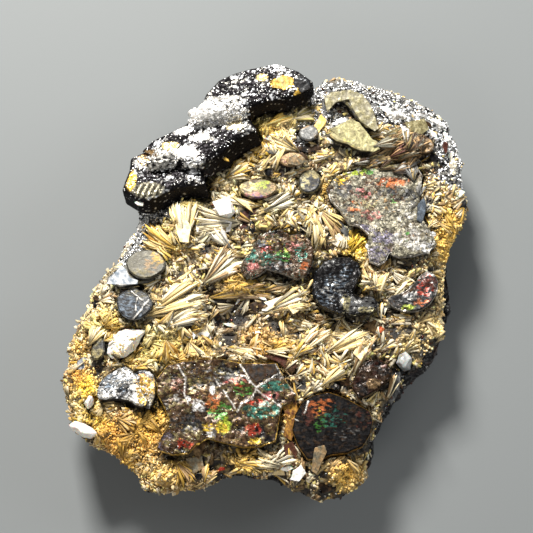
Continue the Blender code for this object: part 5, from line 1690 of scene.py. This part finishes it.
# Thin sheets lying on the face: main colour, second colour, raise in mm, outline in pixels
sheetSettings = {
    "thickness": 0.22, "bevel": 0.03, "grain": 0.035, "level": 8, "large": 3.2,      # mm
    "tone": {"darkSheets": 0.6, "paleSheets": 0.95},
    "darkSheets": [
        ("stone", "paleOlive", 0.08, (325, 95, 331, 90, 352, 87, 364, 92, 373, 104, 380, 127,
                                      376, 130, 362, 120, 354, 107, 350, 97, 337, 100, 328, 110)),
        ("celery", "paleOlive", 0.12, (331, 128, 352, 117, 360, 121, 368, 131, 381, 148, 375, 151,
                                       361, 149, 345, 140)),
        ("oliveGrey", "umber", 0.05, (376, 140, 390, 136, 402, 142, 400, 150, 383, 153, 368, 156, 366, 149)),
        ("oliveGrey", "umber", 0.0, (409, 143, 421, 137, 430, 141, 424, 150, 414, 152)),
        ("paleOlive", "olive", 0.12, (407, 120, 427, 116, 432, 127, 423, 133, 413, 131)),
        ("darkGrey", "grey", 0.1, (328, 207, 338, 215, 350, 232, 348, 238, 340, 229, 330, 216)),
        ("darkGrey", "blueGrey", 0.3, (418, 205, 425, 197, 427, 208, 422, 224, 417, 220)),
        ("black", "black", 0.1, (428, 197, 436, 205, 433, 211, 427, 207)),
        ("darkGrey", "black", 0.1, (461, 202, 469, 197, 470, 206, 462, 219, 458, 211)),
        ("redBrown", "black", 0.12, (236, 218, 250, 205, 260, 212, 251, 223, 241, 232)),
        ("umber", "tan", 0.14, (363, 325, 378, 318, 384, 330, 373, 336)),
        ("red", "orange", 0.34, (376, 329, 380, 326, 384, 329, 380, 333)),
        ("umber", "darkGrey", 0.03, (244, 365, 275, 363, 277, 372, 257, 381, 248, 372)),
        ("ochre", "redBrown", 0.05, (281, 404, 295, 397, 298, 410, 291, 438, 283, 432, 287, 415)),
        ("tan", "oliveGrey", 0.3, (313, 443, 323, 440, 325, 447, 315, 468, 310, 465)),
        ("black", "umber", 0.12, (315, 478, 333, 476, 335, 484, 322, 489)),
        ("olive", "umber", 0.1, (208, 457, 223, 455, 233, 456, 223, 467, 210, 467)),
        ("tan", "stone", 0.25, (187, 455, 203, 453, 205, 464, 195, 470, 188, 464)),
        ("tan", "umber", 0.2, (193, 440, 205, 433, 208, 440, 200, 456, 195, 450)),
        ("redBrown", "umber", 0.12, (260, 355, 290, 355, 298, 366, 290, 371, 277, 361)),
        ("redBrown", "umber", 0.12, (300, 360, 320, 360, 318, 367, 303, 368)),
        ("gold", "straw", 0.25, (272, 80, 283, 73, 295, 77, 292, 85, 280, 88, 274, 86)),
        ("darkGrey", "black", 0.12, (294, 77, 307, 80, 311, 87, 302, 92, 294, 86)),
        ("grey", "oliveGrey", 0.16, (265, 147, 272, 144, 280, 145, 282, 150, 274, 153, 266, 151)),
        ("black", "umber", 0.1, (297, 142, 318, 140, 322, 147, 308, 151, 298, 148)),
        ("oliveGrey", "tan", 0.15, (286, 158, 294, 154, 304, 156, 307, 161, 298, 165, 288, 163)),
        ("darkGrey", "grey", 0.08, (388, 378, 400, 370, 398, 392, 390, 404, 384, 394)),
        ("black", "umber", 0.1, (248, 305, 262, 300, 268, 306, 255, 312)),
        ("redBrown", "umber", 0.15, (283, 442, 292, 438, 297, 448, 295, 462, 286, 456)),
        ("darkGrey", "oliveGrey", 0.1, (103, 338, 111, 332, 113, 346, 106, 356, 100, 350)),
        ("blueGrey", "silver", 0.14, (78, 361, 86, 356, 91, 362, 86, 369, 79, 369)),
    ],
    "paleSheets": [
        ("silver", "blueGrey", 0.02, (107, 284, 114, 275, 122, 265, 127, 270, 131, 278, 139, 280,
                                      138, 284, 122, 285)),
        ("white", "ash", 0.25, (212, 202, 230, 196, 232, 213, 220, 216)),
        ("white", "ash", 0.12, (195, 225, 210, 214, 220, 217, 232, 222, 230, 231, 210, 237, 197, 234)),
        ("straw", "cream", 0.25, (175, 225, 185, 217, 191, 227, 189, 243, 180, 242)),
        ("ash", "cream", 0.2, (332, 236, 340, 233, 347, 241, 338, 247, 332, 243)),
        ("ash", "white", 0.3, (289, 473, 300, 459, 305, 467, 298, 475)),
        ("cream", "straw", 0.2, (265, 457, 290, 463, 290, 472, 268, 471)),
        ("cream", "white", 0.16, (262, 303, 283, 296, 290, 302, 272, 312, 262, 311)),
        ("cream", "straw", 0.16, (287, 306, 306, 297, 309, 304, 293, 314)),
        ("cream", "ash", 0.2, (188, 328, 203, 323, 215, 327, 208, 337, 192, 337)),
        ("straw", "gold", 0.2, (312, 128, 322, 112, 328, 118, 318, 133)),
        ("cream", "straw", 0.16, (322, 340, 342, 326, 346, 332, 330, 350)),
        ("cream", "straw", 0.16, (352, 352, 364, 336, 370, 340, 360, 360)),
    ],
}


def makeSheet(outline, z, thickness):
    # a flat prism over a pixel outline, in mm, bevelled and cut into small faces
    corners = [spot(px, py, z) for px, py in zip(outline[0::2], outline[1::2])]
    turning = sum(a[0] * b[1] - a[1] * b[0] for a, b in zip(corners, corners[1:] + corners[:1]))
    if turning < 0:
        corners.reverse()
    count = len(corners)
    points = [Vector((x, y, z + side * thickness / 2)) * mm for side in (-1, 1) for x, y in corners]
    faces = [list(range(count))[::-1], list(range(count, 2 * count))]
    faces += [(i, (i + 1) % count, count + (i + 1) % count, count + i) for i in range(count)]
    mesh = bpy.data.meshes.new("sheet")
    mesh.from_pydata(points, [], faces)
    sheet = bpy.data.objects.new("sheet", mesh)
    bpy.context.scene.collection.objects.link(sheet)
    finishWith(sheet, "BEVEL", width=sheetSettings["bevel"] * mm, segments=1)
    depth = 6 if max(sheet.dimensions) > sheetSettings["large"] * mm else 5
    finishWith(sheet, "REMESH", mode="SHARP", octree_depth=depth, scale=0.95, use_remove_disconnected=False)
    return sheet


def makeSheets():
    finishes = {
        "darkSheets": (plateFinish("darkSheets", 0.25, 0.34, 0.4), "grey_plate"),
        "paleSheets": (crumbFinish(), "rutile"),
    }
    for kind, (finish, slotName) in finishes.items():
        sheets = []
        for number, (first, second, rise, outline) in enumerate(sheetSettings[kind]):
            across, up = outline[0::2], outline[1::2]
            x, y = spot(sum(across) / len(across), sum(up) / len(up), sheetSettings["level"])
            z = (topAt(x, y) or photo["faceLevel"]) + rise
            sheet = makeSheet(outline, z, sheetSettings["thickness"])
            points, normals = pointsOf(sheet), normalsOf(sheet)
            rough = roughen(points, 0.5, 3, 90.0 + number)
            fine = roughen(points * np.array((1.2, 0.5, 1)), 0.25, 2, 130.0 + number)
            points += normals * (mm * sheetSettings["grain"] * (rough + 0.6 * fine))[:, None]
            movePoints(sheet, points)
            share = np.clip(0.5 + 0.9 * rough + 0.5 * fine, 0, 1)
            tint = blend(np.array(colours[first]), second, share)
            paint(sheet, np.clip(tint * sheetSettings["tone"][kind], 0, 1))
            sheets.append(sheet)
        piece = joinPieces(sheets, kind)
        smoothShade(piece, 30)
        settle(piece, finish, slotName)
        print(piece.name, len(piece.data.polygons))


makeSheets()
